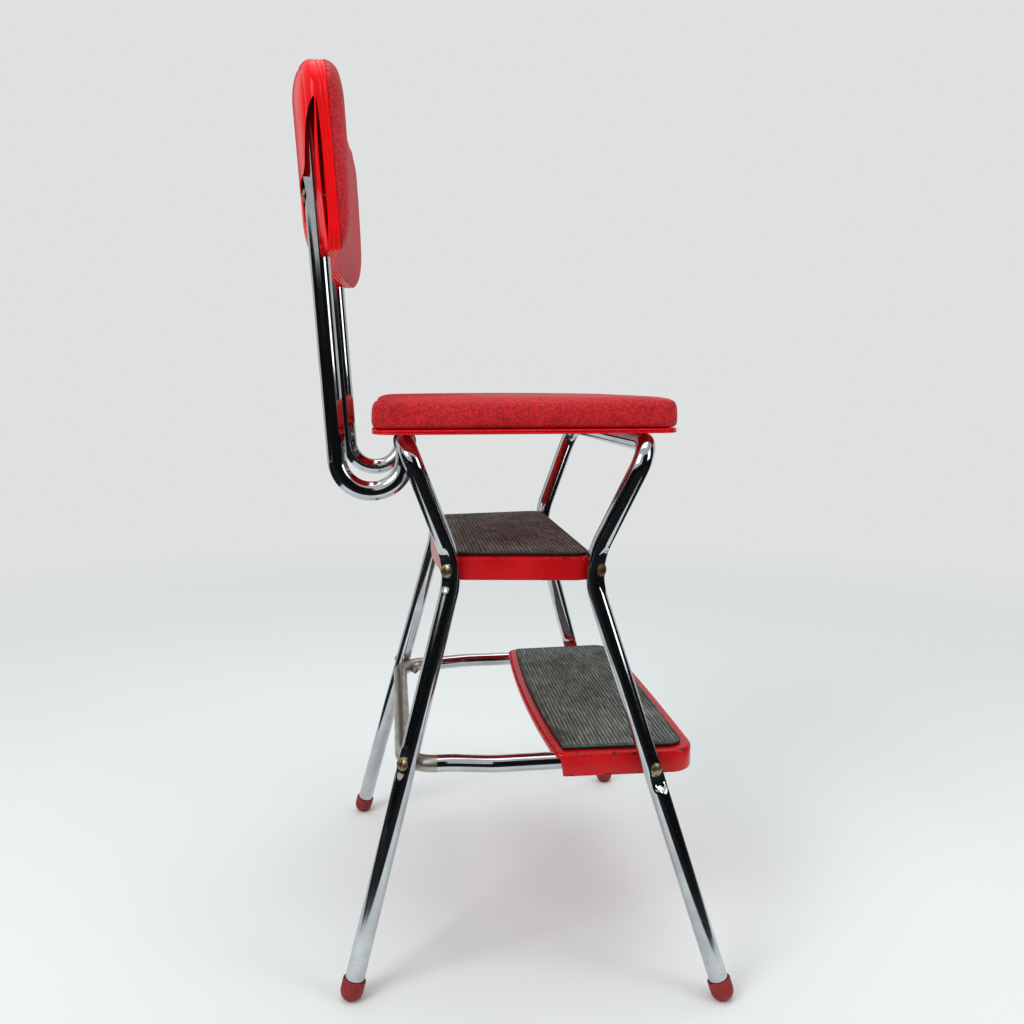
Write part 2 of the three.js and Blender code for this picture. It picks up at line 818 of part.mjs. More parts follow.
function foot_geometry() {
	const profile = [];
	for (let step = 0; step <= foot_dome_steps; step += 1) {
		const angle = Math.PI / 2 * step / foot_dome_steps;
		profile.push(new THREE.Vector2(
			foot_radius * Math.sin(angle),
			foot_radius * (1 - Math.cos(angle)) - foot_wear));
	}
	profile.push(
		new THREE.Vector2(foot_radius, foot_length - foot_lip_round),
		new THREE.Vector2(foot_radius - foot_lip_round, foot_length),
		new THREE.Vector2(foot_bore, foot_length),
		new THREE.Vector2(foot_bore, foot_floor),
		new THREE.Vector2(0, foot_floor));
	return new THREE.LatheGeometry(profile, turned_facets);
}

const leg_frames = [{ frame: rear_frame, end: 'rear' }, { frame: front_frame, end: 'front' }];
for (const { frame, end } of leg_frames) {
	for (const side of sides) {
		const base = side === right_side ? frame.foot : mirrored(frame.foot);
		const up = side === right_side ? frame.up : mirrored(frame.up);
		const geometry = foot_geometry();
		geometry.applyQuaternion(turn_from_up(up));
		geometry.translate(base.x, base.y, base.z);
		const reach = 2 * foot_length;
		const ground = box_between(
			new THREE.Vector3(base.x - reach, base.y - reach, -reach),
			new THREE.Vector3(base.x + reach, base.y + reach, 0));
		add_piece(`foot_${end}_${side_name(side)}`, cut(geometry, [ground]), red_rubber);
	}
}

// Seat

// The seat seen from above; draw is how far its sides are drawn in between the corners.
function seat_shape(draw) {
	return panel_outline({
		front_half: seat_half_width,
		rear_half: seat_half_width,
		front: seat_front_y,
		rear: seat_rear_y,
		radius_front: seat_corner,
		radius_rear: seat_corner,
		bows: [-draw, -draw, -draw, -draw],
	});
}

const seat_outline = seat_shape(0);
const cushion_outline = seat_shape(seat_side_draw);

const seat_floor = seat_pan_top + gap;
const board_roof = seat_floor + seat_board_thickness;
const cushion_shoulder = seat_top - seat_crown;
const seat_middle_y = (seat_front_y + seat_rear_y) / 2;
const seat_half_depth = (seat_rear_y - seat_front_y) / 2;

function crown_height(x, y) {
	const across = 1 - (x / seat_half_width) ** 2;
	const along = 1 - ((y - seat_middle_y) / seat_half_depth) ** 2;
	return cushion_shoulder + seat_crown * across * along;
}

add_piece('seat_cushion', loft([
	ring(cushion_outline, { inset: seat_board_inset - gap, height: board_roof + gap }),
	ring(cushion_outline, { inset: seat_board_inset - gap, height: seat_floor }),
	ring(cushion_outline, { inset: seat_seam_tuck, height: seat_floor }),
	ring(cushion_outline, { inset: 0, height: seat_floor + seat_seam_height }),
	...rounded_edge(cushion_outline, 0, seat_edge_round, cushion_shoulder),
	...panel_shrink_shares.map((shrink) => ring(cushion_outline, {
		inset: seat_edge_round, shrink, height: crown_height,
	})),
]), red_vinyl);

// The hinge screws stand in the clips' flanges, two to a clip
const hinge_screw_places = sides.flatMap((side) => [
	{ side, end: 'front', x: side * clip_place_x, y: rear_top_y - hinge_screw_offset },
	{ side, end: 'rear', x: side * clip_place_x, y: rear_top_y + hinge_screw_offset },
]);
const flange_top = seat_pan_under - gap;
const flange_bottom = flange_top - clip_flange_thickness;
const hinge_drills = hinge_screw_places.map(({ x, y }) => rod(
	hinge_screw_radius + gap,
	new THREE.Vector3(x, y, flange_bottom - overrun),
	new THREE.Vector3(x, y, flange_bottom + hinge_screw_length + gap)));

const seat_pan = pressed_panel(seat_outline, seat_pan_top, sheet + seat_rim_drop, seat_rim_round);
add_piece('seat_pan', cut(seat_pan, hinge_drills), red_enamel);

const seat_board = loft([
	ring(cushion_outline, { inset: seat_board_inset, height: seat_floor }),
	ring(cushion_outline, { inset: seat_board_inset, height: board_roof }),
]);
add_piece('seat_board', cut(seat_board, hinge_drills), plywood);

// Hinge clips: a strap round the rear crossbar with a flange below the pan on each side

function clip_geometry() {
	const bore = tube_radius + gap;
	const outer = bore + clip_wall;
	const low = flange_bottom - crossbar_height;
	const high = flange_top - crossbar_height;
	const meet_angle = Math.asin(low / outer);
	const shape = new THREE.Shape();
	shape.moveTo(clip_flange_half, high);
	shape.lineTo(-clip_flange_half, high);
	shape.lineTo(-clip_flange_half, low);
	shape.absarc(0, 0, outer, Math.PI - meet_angle, 2 * Math.PI + meet_angle, false);
	shape.lineTo(clip_flange_half, low);
	shape.holes.push(new THREE.Path().absarc(0, 0, bore, 0, 2 * Math.PI, true));
	const geometry = new THREE.ExtrudeGeometry(shape, {
		depth: clip_width,
		bevelEnabled: false,
		curveSegments: clip_facets,
	});
	// The shape's x becomes the chair's y, its y the chair's z, and the depth runs along X.
	geometry.translate(0, 0, -clip_width / 2);
	geometry.applyMatrix4(new THREE.Matrix4().makeBasis(
		new THREE.Vector3(0, 1, 0), new THREE.Vector3(0, 0, 1), new THREE.Vector3(1, 0, 0)));
	return geometry;
}

for (const side of sides) {
	const geometry = clip_geometry();
	geometry.translate(side * clip_place_x, rear_top_y, crossbar_height);
	add_piece(`seat_hinge_clip_${side_name(side)}`, cut(geometry, hinge_drills), steel);
}

function hinge_screw_geometry() {
	const profile = [
		new THREE.Vector2(0, -hinge_head_height),
		new THREE.Vector2(hinge_head_radius, -hinge_head_height),
		new THREE.Vector2(hinge_head_radius, 0),
		new THREE.Vector2(hinge_screw_radius, 0),
		new THREE.Vector2(hinge_screw_radius, hinge_screw_length - hinge_screw_radius),
		new THREE.Vector2(0, hinge_screw_length),
	];
	const body = new THREE.LatheGeometry(profile, small_facets);
	const slot_end = hinge_head_radius + overrun;
	const slot = box_between(
		new THREE.Vector3(-slot_end, -hinge_head_height - overrun, -hinge_slot_width / 2),
		new THREE.Vector3(slot_end, hinge_slot_depth - hinge_head_height, hinge_slot_width / 2));
	return cut(body, [slot]);
}

const hinge_screw = hinge_screw_geometry();
for (const { side, end, x, y } of hinge_screw_places) {
	const mesh = add_piece(`hinge_screw_${end}_${side_name(side)}`, hinge_screw, steel);
	aim(mesh, new THREE.Vector3(x, y, flange_bottom - gap), new THREE.Vector3(0, 0, 1));
}

// Rubber bumpers that rest on the front crossbar
for (const side of sides) {
	const geometry = rod(
		bumper_radius,
		at_side(side, bumper_place_x, front_top_y, frame_top + gap),
		at_side(side, bumper_place_x, front_top_y, seat_pan_under - gap),
		turned_facets);
	add_piece(`seat_bumper_${side_name(side)}`, geometry, black_rubber);
}

// Curved sheet where the two shells of the back meet

function across_share(x) {
	return 1 - (x / back_half_width) ** 2;
}

function back_sheet(x, z) {
	return back_sheet_y + back_lean * (z - back_bottom) + back_bow * across_share(x);
}

// A point of the back from its place on the sheet and its offset towards the front.
function back_place({ x, y, z }) {
	return new THREE.Vector3(x, back_sheet(x, y) - z, y);
}

function cover_offset(x) {
	return -(cover_depth + cover_bulge * across_share(x));
}

function pad_offset(x, height) {
	const share = (height - back_bottom) / (back_shoulder - back_bottom);
	return pad_depth_low + (pad_depth_high - pad_depth_low) * share - pad_hollow * across_share(x);
}

// Half the width of the slit between the shells, widest halfway up and closed at its ends.
function slit_offset(height) {
	const middle = (slit_bottom + slit_top) / 2;
	const share = 1 - ((height - middle) / (slit_top - middle)) ** 2;
	return slit_closed_half + (slit_half_width - slit_closed_half) * Math.max(share, 0);
}

const back_outline = panel_outline({
	front_half: back_half_width,
	rear_half: back_half_width,
	front: back_bottom,
	rear: back_shoulder,
	radius_front: back_corner_bottom,
	radius_rear: back_corner_top,
	bows: [0, 0, back_arch, 0],
	steps: [back_edge_steps, back_edge_steps, back_edge_steps, back_edge_steps],
});

// Back tube

// The tube's y inside the back, just behind the pan.
function back_tube_y(x, z) {
	return back_sheet(x, z) + tube_radius + gap - (back_pan_depth - sheet);
}

const upright_y = (z) => back_tube_y(back_tube_x, z);
const back_half_corners = [
	new THREE.Vector3(back_tube_x, rear_top_y, crossbar_height - hook_cope),
	new THREE.Vector3(back_tube_x, rear_top_y, hook_bottom),
	new THREE.Vector3(back_tube_x, upright_y(hook_bottom), hook_bottom),
	new THREE.Vector3(back_tube_x, upright_y(back_crossbar_height), back_crossbar_height),
];
const back_axis = bent_axis(
	[...back_half_corners, ...back_half_corners.map(mirrored).reverse()],
	[hook_bend, hook_bend, back_elbow_bend, back_elbow_bend, hook_bend, hook_bend]);

// The crossbar inside the back bows with it, so the axis above the uprights follows the sheet.
const bowed_back_axis = [];
back_axis.forEach((point, i) => {
	const previous = back_axis[i - 1];
	if (previous && Math.abs(previous.x + point.x) < gap && previous.x > 0 && point.z > back_bottom) {
		for (let step = 1; step < bow_steps; step += 1) {
			bowed_back_axis.push(previous.clone().lerp(point, step / bow_steps));
		}
	}
	bowed_back_axis.push(point.clone());
});
for (const point of bowed_back_axis) {
	if (point.z > back_bottom) {
		point.y = back_tube_y(point.x, point.z);
	}
}

const back_screw_places = sides.map((side) => ({
	side,
	middle: at_side(side, back_tube_x, upright_y(back_screw_height), back_screw_height),
}));
const backward = new THREE.Vector3(0, 1, 0);
const back_screw_length = pressed_radius + gap + tube_radius + gap + sheet + layer_gap
	+ back_board_thickness;
const back_drills = back_screw_places.map(({ middle }) => rod(
	screw_shank_radius + gap,
	middle.clone().addScaledVector(backward, tube_radius + overrun),
	middle.clone().addScaledVector(backward, pressed_radius + gap - back_screw_length - gap)));

const back_screw_middles = back_screw_places.map(({ middle }) => middle);
const back_tube = tube(tube_radius, back_screw_middles.reduce(with_dimple_stations, bowed_back_axis));
for (const { middle } of back_screw_places) {
	dimple(back_tube, middle, backward);
}
const rear_frame_clearance = tube(tube_radius + gap, rear_frame.axis);
add_piece('back_tube', cut(back_tube, [...back_drills, rear_frame_clearance]), chrome);

const back_screw = screw_geometry(back_screw_length);
for (const { side, middle } of back_screw_places) {
	const head = middle.clone().addScaledVector(backward, pressed_radius + gap);
	aim(add_piece(`back_screw_${side_name(side)}`, back_screw, brass), head, backward);
}

// Shells of the back

const back_tube_clearance = tube(tube_radius + gap, bowed_back_axis);

// Rings from one edge of a shell to its face, along a quarter of an ellipse.
function dome_rings({ inset = 0, round, lift = 0, start, face, steps = dome_steps }) {
	const rings = [];
	for (let step = 0; step <= steps; step += 1) {
		const angle = Math.PI / 2 * step / steps;
		rings.push(ring(back_outline, {
			inset,
			draw: round * (1 - Math.cos(angle)),
			lift: lift * (1 - Math.cos(angle)),
			height: (x, y) => start(x, y) + (face(x, y) - start(x, y)) * Math.sin(angle),
		}));
	}
	return rings;
}

// The rings of a face that is the same distance from the curved sheet in every layer.
function face_rings(height, lift = 0) {
	const whole = ring(back_outline, { draw: back_inner_draw, lift, height });
	const smaller = panel_shrink_shares.map((shrink) => ring(back_outline, {
		draw: back_inner_draw, lift, shrink, height,
	}));
	return [whole, ...smaller];
}

const cover_lip = (x, y) => -slit_offset(y);
const cover_inner = (x) => cover_offset(x) + cover_skin;
const back_cover = loft([
	...face_rings(cover_offset).reverse(),
	...dome_rings({ round: cover_round, start: cover_lip, face: cover_offset }).reverse(),
	...dome_rings({
		inset: cover_skin, round: cover_round - cover_skin, start: cover_lip, face: cover_inner,
	}),
	...face_rings(cover_inner),
], back_place);
const back_head_clearances = back_screw_places.map(({ middle }) => rod(
	screw_head_radius + gap,
	middle,
	middle.clone().addScaledVector(backward, 2 * tube_radius),
	turned_facets));
add_piece('back_cover', cut(back_cover, [back_tube_clearance, ...back_head_clearances]), back_enamel);

const pan_lip = (x, y) => slit_offset(y);
const pan_face = () => back_pan_depth;
const pan_inner = () => back_pan_depth - sheet;
const back_pan = loft([
	...face_rings(pan_inner).reverse(),
	...dome_rings({
		inset: sheet, round: back_pan_round - sheet, start: pan_lip, face: pan_inner, steps: 1,
	}).reverse(),
	...dome_rings({ round: back_pan_round, start: pan_lip, face: pan_face, steps: 2 }),
	...face_rings(pan_face),
], back_place);
add_piece('back_pan', cut(back_pan, [back_tube_clearance, ...back_drills]), back_enamel);

// Board and pad of the back

const board_floor = () => back_pan_depth + layer_gap;
const board_face = () => board_floor() + back_board_thickness;
const back_board = loft([
	...face_rings(board_floor).reverse(),
	ring(back_outline, { inset: back_board_inset, height: board_floor }),
	ring(back_outline, { inset: back_board_inset, height: board_face }),
	...face_rings(board_face),
], back_place);
add_piece('back_board', cut(back_board, back_drills), plywood);

const pocket_roof = () => board_face() + layer_gap;
add_piece('back_pad', loft([
	...face_rings(pocket_roof).reverse(),
	ring(back_outline, { inset: back_board_inset - gap, height: pocket_roof }),
	ring(back_outline, { inset: back_board_inset - gap, height: board_floor }),
	ring(back_outline, { inset: back_pan_round, height: board_floor }),
	...dome_rings({
		round: pad_round, lift: pad_lift, start: () => board_floor() + back_pan_round, face: pad_offset,
	}),
	...face_rings(pad_offset, pad_lift),
], back_place), red_vinyl);

// The whole chair stands with the middle of its outer box over the origin.
const whole = new THREE.Box3().setFromObject(chair);
chair.position.set(0, -(whole.min.y + whole.max.y) / 2, 0);

export default chair;
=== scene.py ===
# %% [markdown]
# A retro kitchen step stool: a high padded chair on a chromed tube frame with two steel steps.
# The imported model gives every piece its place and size. This script gives them their looks:
# smooth tubes, pressed steel, ribbed rubber and pulled vinyl, each worked out as a surface.

import json
import math

import bmesh
import bpy
import numpy as np
from mathutils import Matrix, Vector


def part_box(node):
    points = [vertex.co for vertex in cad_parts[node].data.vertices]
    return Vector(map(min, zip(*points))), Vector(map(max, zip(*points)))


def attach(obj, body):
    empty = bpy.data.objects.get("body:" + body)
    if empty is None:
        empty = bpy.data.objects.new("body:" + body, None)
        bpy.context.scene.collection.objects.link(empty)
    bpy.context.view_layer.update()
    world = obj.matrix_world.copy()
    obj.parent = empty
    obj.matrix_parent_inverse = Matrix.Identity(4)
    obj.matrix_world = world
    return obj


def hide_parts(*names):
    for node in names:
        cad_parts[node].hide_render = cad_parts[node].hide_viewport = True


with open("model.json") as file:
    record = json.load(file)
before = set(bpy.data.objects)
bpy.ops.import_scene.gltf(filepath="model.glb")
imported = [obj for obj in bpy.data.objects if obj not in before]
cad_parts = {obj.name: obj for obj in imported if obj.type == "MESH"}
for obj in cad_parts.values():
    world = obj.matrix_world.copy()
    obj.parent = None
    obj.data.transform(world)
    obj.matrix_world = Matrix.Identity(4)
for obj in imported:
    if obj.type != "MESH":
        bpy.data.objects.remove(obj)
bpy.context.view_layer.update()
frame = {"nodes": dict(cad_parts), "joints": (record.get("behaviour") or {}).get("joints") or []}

MM = 0.001
FRAME_BODY = "frame"
SEAT_BODY = "seat"
SIDES = (("right", np.array([1, 1, 1])), ("left", np.array([-1, 1, 1])))

# %% [markdown]
# The part is drawn about its own middle line and then moved along Y, so that the floor point
# below the middle of its box is the origin. The rear crossbar's place gives that move back.

# %% Where the drawing's Y zero lies
rear_crossbar_y = 124.5 * MM
hinge = frame["joints"][0]
shift_y = hinge["pos_m"][1] - rear_crossbar_y
print("moved along Y by", round(shift_y / MM, 2), "mm")

# %% [markdown]
# A new mesh is made from arrays: points by row and column, and the faces between neighbours.
# Rows and columns may close on themselves, as round a tube, and open ends get a lid.

# %% Helpers that turn arrays into pieces
def sheet_faces(rows, columns, wrap_rows=False, wrap_columns=False):
    """Quads between neighbouring points of a grid, numbered row by row."""
    row = np.arange(rows if wrap_rows else rows - 1)[:, None]
    column = np.arange(columns if wrap_columns else columns - 1)[None, :]
    next_row = (row + 1) % rows
    next_column = (column + 1) % columns
    corners = [
        row * columns + column,
        row * columns + next_column,
        next_row * columns + next_column,
        next_row * columns + column,
    ]
    return np.stack(np.broadcast_arrays(*corners), axis=-1).reshape(-1, 4)


def stacked_rings(rings):
    """A closed body from rings of points: a skin between them and a fan of faces on each end."""
    rings = np.asarray(rings, float)
    count, around = rings.shape[:2]
    points = np.concatenate([
        rings.reshape(-1, 3), rings[0].mean(0)[None], rings[-1].mean(0)[None]])
    quads = sheet_faces(count, around, wrap_columns=True)
    here = np.arange(around)
    after = (here + 1) % around
    last = (count - 1) * around
    first_lid = np.stack([after, here, np.full(around, count * around)], axis=-1)
    last_lid = np.stack([last + here, last + after, np.full(around, count * around + 1)], axis=-1)
    return points, [quads, first_lid, last_lid]


def joined(*parts):
    """Several bodies as one list of points and faces."""
    points, faces, start = [], [], 0
    for part_points, part_faces in parts:
        points.append(part_points)
        faces.extend(block + start for block in part_faces)
        start += len(part_points)
    return np.concatenate(points), faces


def make_mesh(name, points, faces):
    """A mesh object at the origin whose faces all point outwards."""
    mesh = bpy.data.meshes.new(name)
    rows = [face for block in faces for face in block.tolist()]
    mesh.from_pydata(np.asarray(points, float).tolist(), [], rows)
    working = bmesh.new()
    working.from_mesh(mesh)
    bmesh.ops.remove_doubles(working, verts=working.verts, dist=1e-6)
    bmesh.ops.dissolve_degenerate(working, edges=working.edges, dist=1e-6)
    bmesh.ops.recalc_face_normals(working, faces=working.faces)
    working.to_mesh(mesh)
    working.free()
    mesh.shade_smooth()
    piece = bpy.data.objects.new(name, mesh)
    bpy.context.scene.collection.objects.link(piece)
    return piece


def with_modifiers(piece):
    """A new mesh of the piece as its modifiers leave it. The modifiers are taken off."""
    ready = bpy.context.evaluated_depsgraph_get()
    shaped = bpy.data.meshes.new_from_object(piece.evaluated_get(ready))
    piece.modifiers.clear()
    return shaped


def mesh_points(mesh):
    points = np.zeros(len(mesh.vertices) * 3)
    mesh.vertices.foreach_get("co", points)
    return points.reshape(-1, 3)


def set_points(piece, points):
    piece.data.vertices.foreach_set("co", np.asarray(points, float).ravel())
    piece.data.update()


def dress(piece, material):
    """Gives a piece this one material."""
    piece.data.materials.clear()
    piece.data.materials.append(material)


def dress_part(piece, material, chosen):
    """Gives a second material to the faces whose middle points are chosen."""
    piece.data.materials.append(material)
    middles = np.zeros(len(piece.data.polygons) * 3)
    piece.data.polygons.foreach_get("center", middles)
    is_chosen = chosen(middles.reshape(-1, 3)).astype(np.int32)
    piece.data.polygons.foreach_set("material_index", is_chosen)


def finish_piece(piece, material, body, node):
    """Gives a piece its material and body, and lets it stand for its CAD node, which it hides."""
    dress(piece, material)
    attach(piece, body)
    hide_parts(node)
    print(piece.name, "faces:", len(piece.data.polygons))


# %% [markdown]
# Materials are built from nodes. One function adds a node with its settings and its links, and
# colours are written as they look on a screen and turned to linear light once. Each pattern has
# its real size in millimetres.

# %% Helpers for materials
def linear(hex_colour):
    """The linear colour of an sRGB hex value."""
    value = np.array([int(hex_colour[i:i + 2], 16) for i in (1, 3, 5)]) / 255
    light = np.where(value <= 0.04045, value / 12.92, ((value + 0.055) / 1.055) ** 2.4)
    return (*light.tolist(), 1.0)


def set_stops(elements, stops):
    """Fills a ramp with pairs of a place and an sRGB hex value or a grey level."""
    while len(elements) < len(stops):
        elements.new(0.5)
    for element, (place, shade) in zip(elements, stops):
        element.position = place
        element.color = linear(shade) if isinstance(shade, str) else (shade, shade, shade, 1)


def add(tree, kind, settings=None, **inputs):
    """Adds a node with its own settings and its inputs.

    An input goes by its name, with _ for a space, or by its number after a _. It takes a value,
    a socket, or a node, whose first output is then linked.
    """
    node = tree.nodes.new(kind)
    for key, value in (settings or {}).items():
        if key == "stops":
            set_stops(node.color_ramp.elements, value)
        else:
            setattr(node, key, value)
    for key, value in inputs.items():
        slot = node.inputs[int(key[1:])] if key[0] == "_" else node.inputs[key.replace("_", " ")]
        if isinstance(value, bpy.types.Node):
            value = value.outputs[0]
        if isinstance(value, bpy.types.NodeSocket):
            tree.links.new(value, slot)
        else:
            slot.default_value = value
    return node


def new_material(name):
    """An empty material, its node tree and the object's own coordinates."""
    material = bpy.data.materials.new(name)
    material.use_nodes = True
    tree = material.node_tree
    tree.nodes.clear()
    return material, tree, add(tree, "ShaderNodeTexCoord").outputs["Object"]


def per_mm(size):
    """The scale that gives a pattern features of this size, in millimetres."""
    return 1 / (size * MM)


# %% [markdown]
# The legs are bright chrome plate on bent steel tube. Chrome is a mirror with a faint blue
# cast. After decades it has fine pits and rust specks and a light haze, most of it low down.

# %% Chrome plate
def chrome_plate(name, haze, shade):
    """Mirror chrome: noise of 28 mm gives its haze, noise of 2.2 mm its pits and rust.

    Rust shows where the fine noise passes 0.76. It is raised by 0.12 at the floor and by
    nothing 0.45 m up.
    """
    material, tree, place = new_material(name)
    cloud = add(tree, "ShaderNodeTexNoise", Vector=place, Scale=per_mm(28), Detail=5.0)
    specks = add(tree, "ShaderNodeTexNoise", Vector=place, Scale=per_mm(2.2), Detail=3.0)
    height = add(tree, "ShaderNodeSeparateXYZ", Vector=place).outputs["Z"]
    low = add(tree, "ShaderNodeMapRange", Value=height, From_Min=0.05, From_Max=0.45,
              To_Min=0.12, To_Max=0.0)
    raised = add(tree, "ShaderNodeMath", {"operation": "ADD"}, _0=specks, _1=low)
    rust = add(tree, "ShaderNodeValToRGB",
               {"stops": [(0.0, 0.0), (0.76, 0.0), (0.86, 0.7), (1.0, 0.8)]}, Fac=raised)
    plate = add(tree, "ShaderNodeValToRGB", {"stops": [(0.35, shade[0]), (0.65, shade[1])]},
                Fac=cloud)
    colour = add(tree, "ShaderNodeMix", {"data_type": "RGBA"}, _0=rust, _6=plate,
                 _7=linear("#7D6A58")).outputs[2]
    hazy = add(tree, "ShaderNodeMapRange", Value=cloud, From_Min=0.3, From_Max=0.7,
               To_Min=haze[0], To_Max=haze[1])
    rusty = add(tree, "ShaderNodeMath", {"operation": "MULTIPLY"}, _0=rust, _1=0.6)
    rough = add(tree, "ShaderNodeMath", {"operation": "MAXIMUM"}, _0=hazy, _1=rusty)
    pits = add(tree, "ShaderNodeBump", Height=specks, Strength=0.03, Distance=0.2 * MM)
    shader = add(tree, "ShaderNodeBsdfPrincipled", Metallic=1.0, Base_Color=colour,
                 Roughness=rough, Normal=pits)
    add(tree, "ShaderNodeOutputMaterial", Surface=shader)
    return material


bright_chrome = chrome_plate("bright_chrome", (0.06, 0.13), ("#CDD1D4", "#B4B9BD"))
dull_chrome = chrome_plate("dull_chrome", (0.30, 0.45), ("#BDB9B0", "#A29D93"))

# %% [markdown]
# The trays and pans are pressed steel under baked enamel. The colour is a little uneven, the
# trays are scuffed dark by shoes, the marks drawn denser along their bends and lower edges, and
# a clear gloss lies on top.

# %% Baked enamel
def baked_enamel(name, colour, deep, scuff, amount, gloss, edges=(), shine=0.3):
    """Glossy enamel: its colour drifts over 60 mm and its scuffs are noise of 9 mm.

    edges are the heights of bends and lower edges. Within 2.5 mm of them the scuffs' noise grows
    by up to 0.16, so the enamel is drawn darker along them. Fine noise of 4 mm gives the enamel
    its slightly wavy gloss.
    """
    material, tree, place = new_material(name)
    drift = add(tree, "ShaderNodeTexNoise", Vector=place, Scale=per_mm(60), Detail=4.0)
    base = add(tree, "ShaderNodeValToRGB", {"stops": [(0.35, deep), (0.62, colour)]}, Fac=drift)
    scuff_noise = add(tree, "ShaderNodeTexNoise", Vector=place, Scale=per_mm(9), Detail=8.0,
               Roughness=0.7)
    height = add(tree, "ShaderNodeSeparateXYZ", Vector=place).outputs["Z"]
    # Near each given edge height the scuffs' noise is raised, so the enamel is drawn darker along
    # the bends and lower edges.
    for edge in edges:
        above = add(tree, "ShaderNodeMath", {"operation": "SUBTRACT"}, _0=height, _1=edge)
        apart = add(tree, "ShaderNodeMath", {"operation": "ABSOLUTE"}, _0=above)
        near = add(tree, "ShaderNodeMapRange", Value=apart, From_Min=0.8 * MM,
                   From_Max=2.5 * MM, To_Min=0.16, To_Max=0.0)
        scuff_noise = add(tree, "ShaderNodeMath", {"operation": "ADD"}, _0=scuff_noise, _1=near)
    bare = 1 - amount
    marks = add(tree, "ShaderNodeValToRGB",
                {"stops": [(0.0, 0.0), (bare, 0.0), (bare + 0.07, 1.0), (1.0, 1.0)]}, Fac=scuff_noise)
    scuffed = add(tree, "ShaderNodeMix", {"data_type": "RGBA"}, _0=marks, _6=base,
                  _7=linear(scuff)).outputs[2]
    rough = add(tree, "ShaderNodeMapRange", Value=drift, From_Min=0.3, From_Max=0.7,
                To_Min=gloss, To_Max=gloss + 0.12)
    waves = add(tree, "ShaderNodeTexNoise", Vector=place, Scale=per_mm(4), Detail=1.0)
    wavy = add(tree, "ShaderNodeBump", Height=waves, Strength=0.05, Distance=0.3 * MM)
    shader = add(tree, "ShaderNodeBsdfPrincipled", Specular_IOR_Level=shine, Base_Color=scuffed,
                 Roughness=rough, Normal=wavy)
    add(tree, "ShaderNodeOutputMaterial", Surface=shader)
    return material


# Heights of the bends and lower edges of the upper tray, then of the lower one, in metres.
tray_edges = (0.4485, 0.4255, 0.2430, 0.2205)
tray_enamel = baked_enamel("tray_enamel", "#D00A12", "#BD070E", "#4A1512", 0.31, 0.2,
                           edges=tray_edges)
pan_enamel = baked_enamel("pan_enamel", "#E0050C", "#D0040B", "#7A1010", 0.27, 0.16)
back_enamel = baked_enamel("back_enamel", "#F8060F", "#EE040C", "#B40C12", 0.25, 0.2, shine=0.14)

# %% [markdown]
# The seat and back are covered in vinyl, a soft plastic skin with pebbles pressed into it. The
# pebbles are about 2 mm across, drawn as 2.9 mm so that they show in the render, with dark
# joints between them. Slow noise makes the vinyl fade where hands and legs rub it.

# %% Pebbled vinyl
def pebbled_vinyl(name, colour, deep, faded):
    """Vinyl: rounded cells for pebbles, finer noise for the grain between them.

    Noise of 6 mm bends the cells, so that they don't look like a grid. Noise of 75 mm is wear.
    """
    material, tree, place = new_material(name)
    warp = add(tree, "ShaderNodeTexNoise", Vector=place, Scale=per_mm(6), Detail=2.0)
    bent = add(tree, "ShaderNodeMix", {"data_type": "VECTOR"}, _0=0.0014, _4=place,
               _5=warp.outputs["Color"]).outputs[1]
    cells = add(tree, "ShaderNodeTexVoronoi", {"feature": "SMOOTH_F1"}, Vector=bent,
                Scale=per_mm(2.9), Smoothness=0.5)
    grain = add(tree, "ShaderNodeTexNoise", Vector=place, Scale=per_mm(1.1), Detail=3.0)
    pebbles = add(tree, "ShaderNodeMath", {"operation": "MULTIPLY_ADD"}, _0=cells, _1=-1.0,
                  _2=grain)
    raised = add(tree, "ShaderNodeBump", Height=pebbles, Strength=0.8, Distance=0.9 * MM)
    wear = add(tree, "ShaderNodeTexNoise", Vector=place, Scale=per_mm(75), Detail=6.0,
               Roughness=0.6)
    tone = add(tree, "ShaderNodeValToRGB",
               {"stops": [(0.32, deep), (0.5, colour), (0.72, faded)]}, Fac=wear)
    joints = add(tree, "ShaderNodeValToRGB", {"stops": [(0.15, 1.0), (0.7, 0.5)]}, Fac=cells)
    shaded = add(tree, "ShaderNodeMix", {"data_type": "RGBA", "blend_type": "MULTIPLY"},
                 _0=0.8, _6=tone, _7=joints).outputs[2]
    rough = add(tree, "ShaderNodeMapRange", Value=wear, From_Min=0.3, From_Max=0.7,
                To_Min=0.36, To_Max=0.5)
    shader = add(tree, "ShaderNodeBsdfPrincipled", IOR=1.53, Specular_IOR_Level=0.14,
                 Sheen_Weight=0.05, Sheen_Roughness=0.4, Sheen_Tint=linear("#FFB0B8"),
                 Base_Color=shaded, Roughness=rough, Normal=raised)
    add(tree, "ShaderNodeOutputMaterial", Surface=shader)
    return material


seat_vinyl = pebbled_vinyl("seat_vinyl", "#DC242C", "#C61B23", "#E22E36")
pad_vinyl = pebbled_vinyl("pad_vinyl", "#E62C38", "#D02430", "#EE3C48")
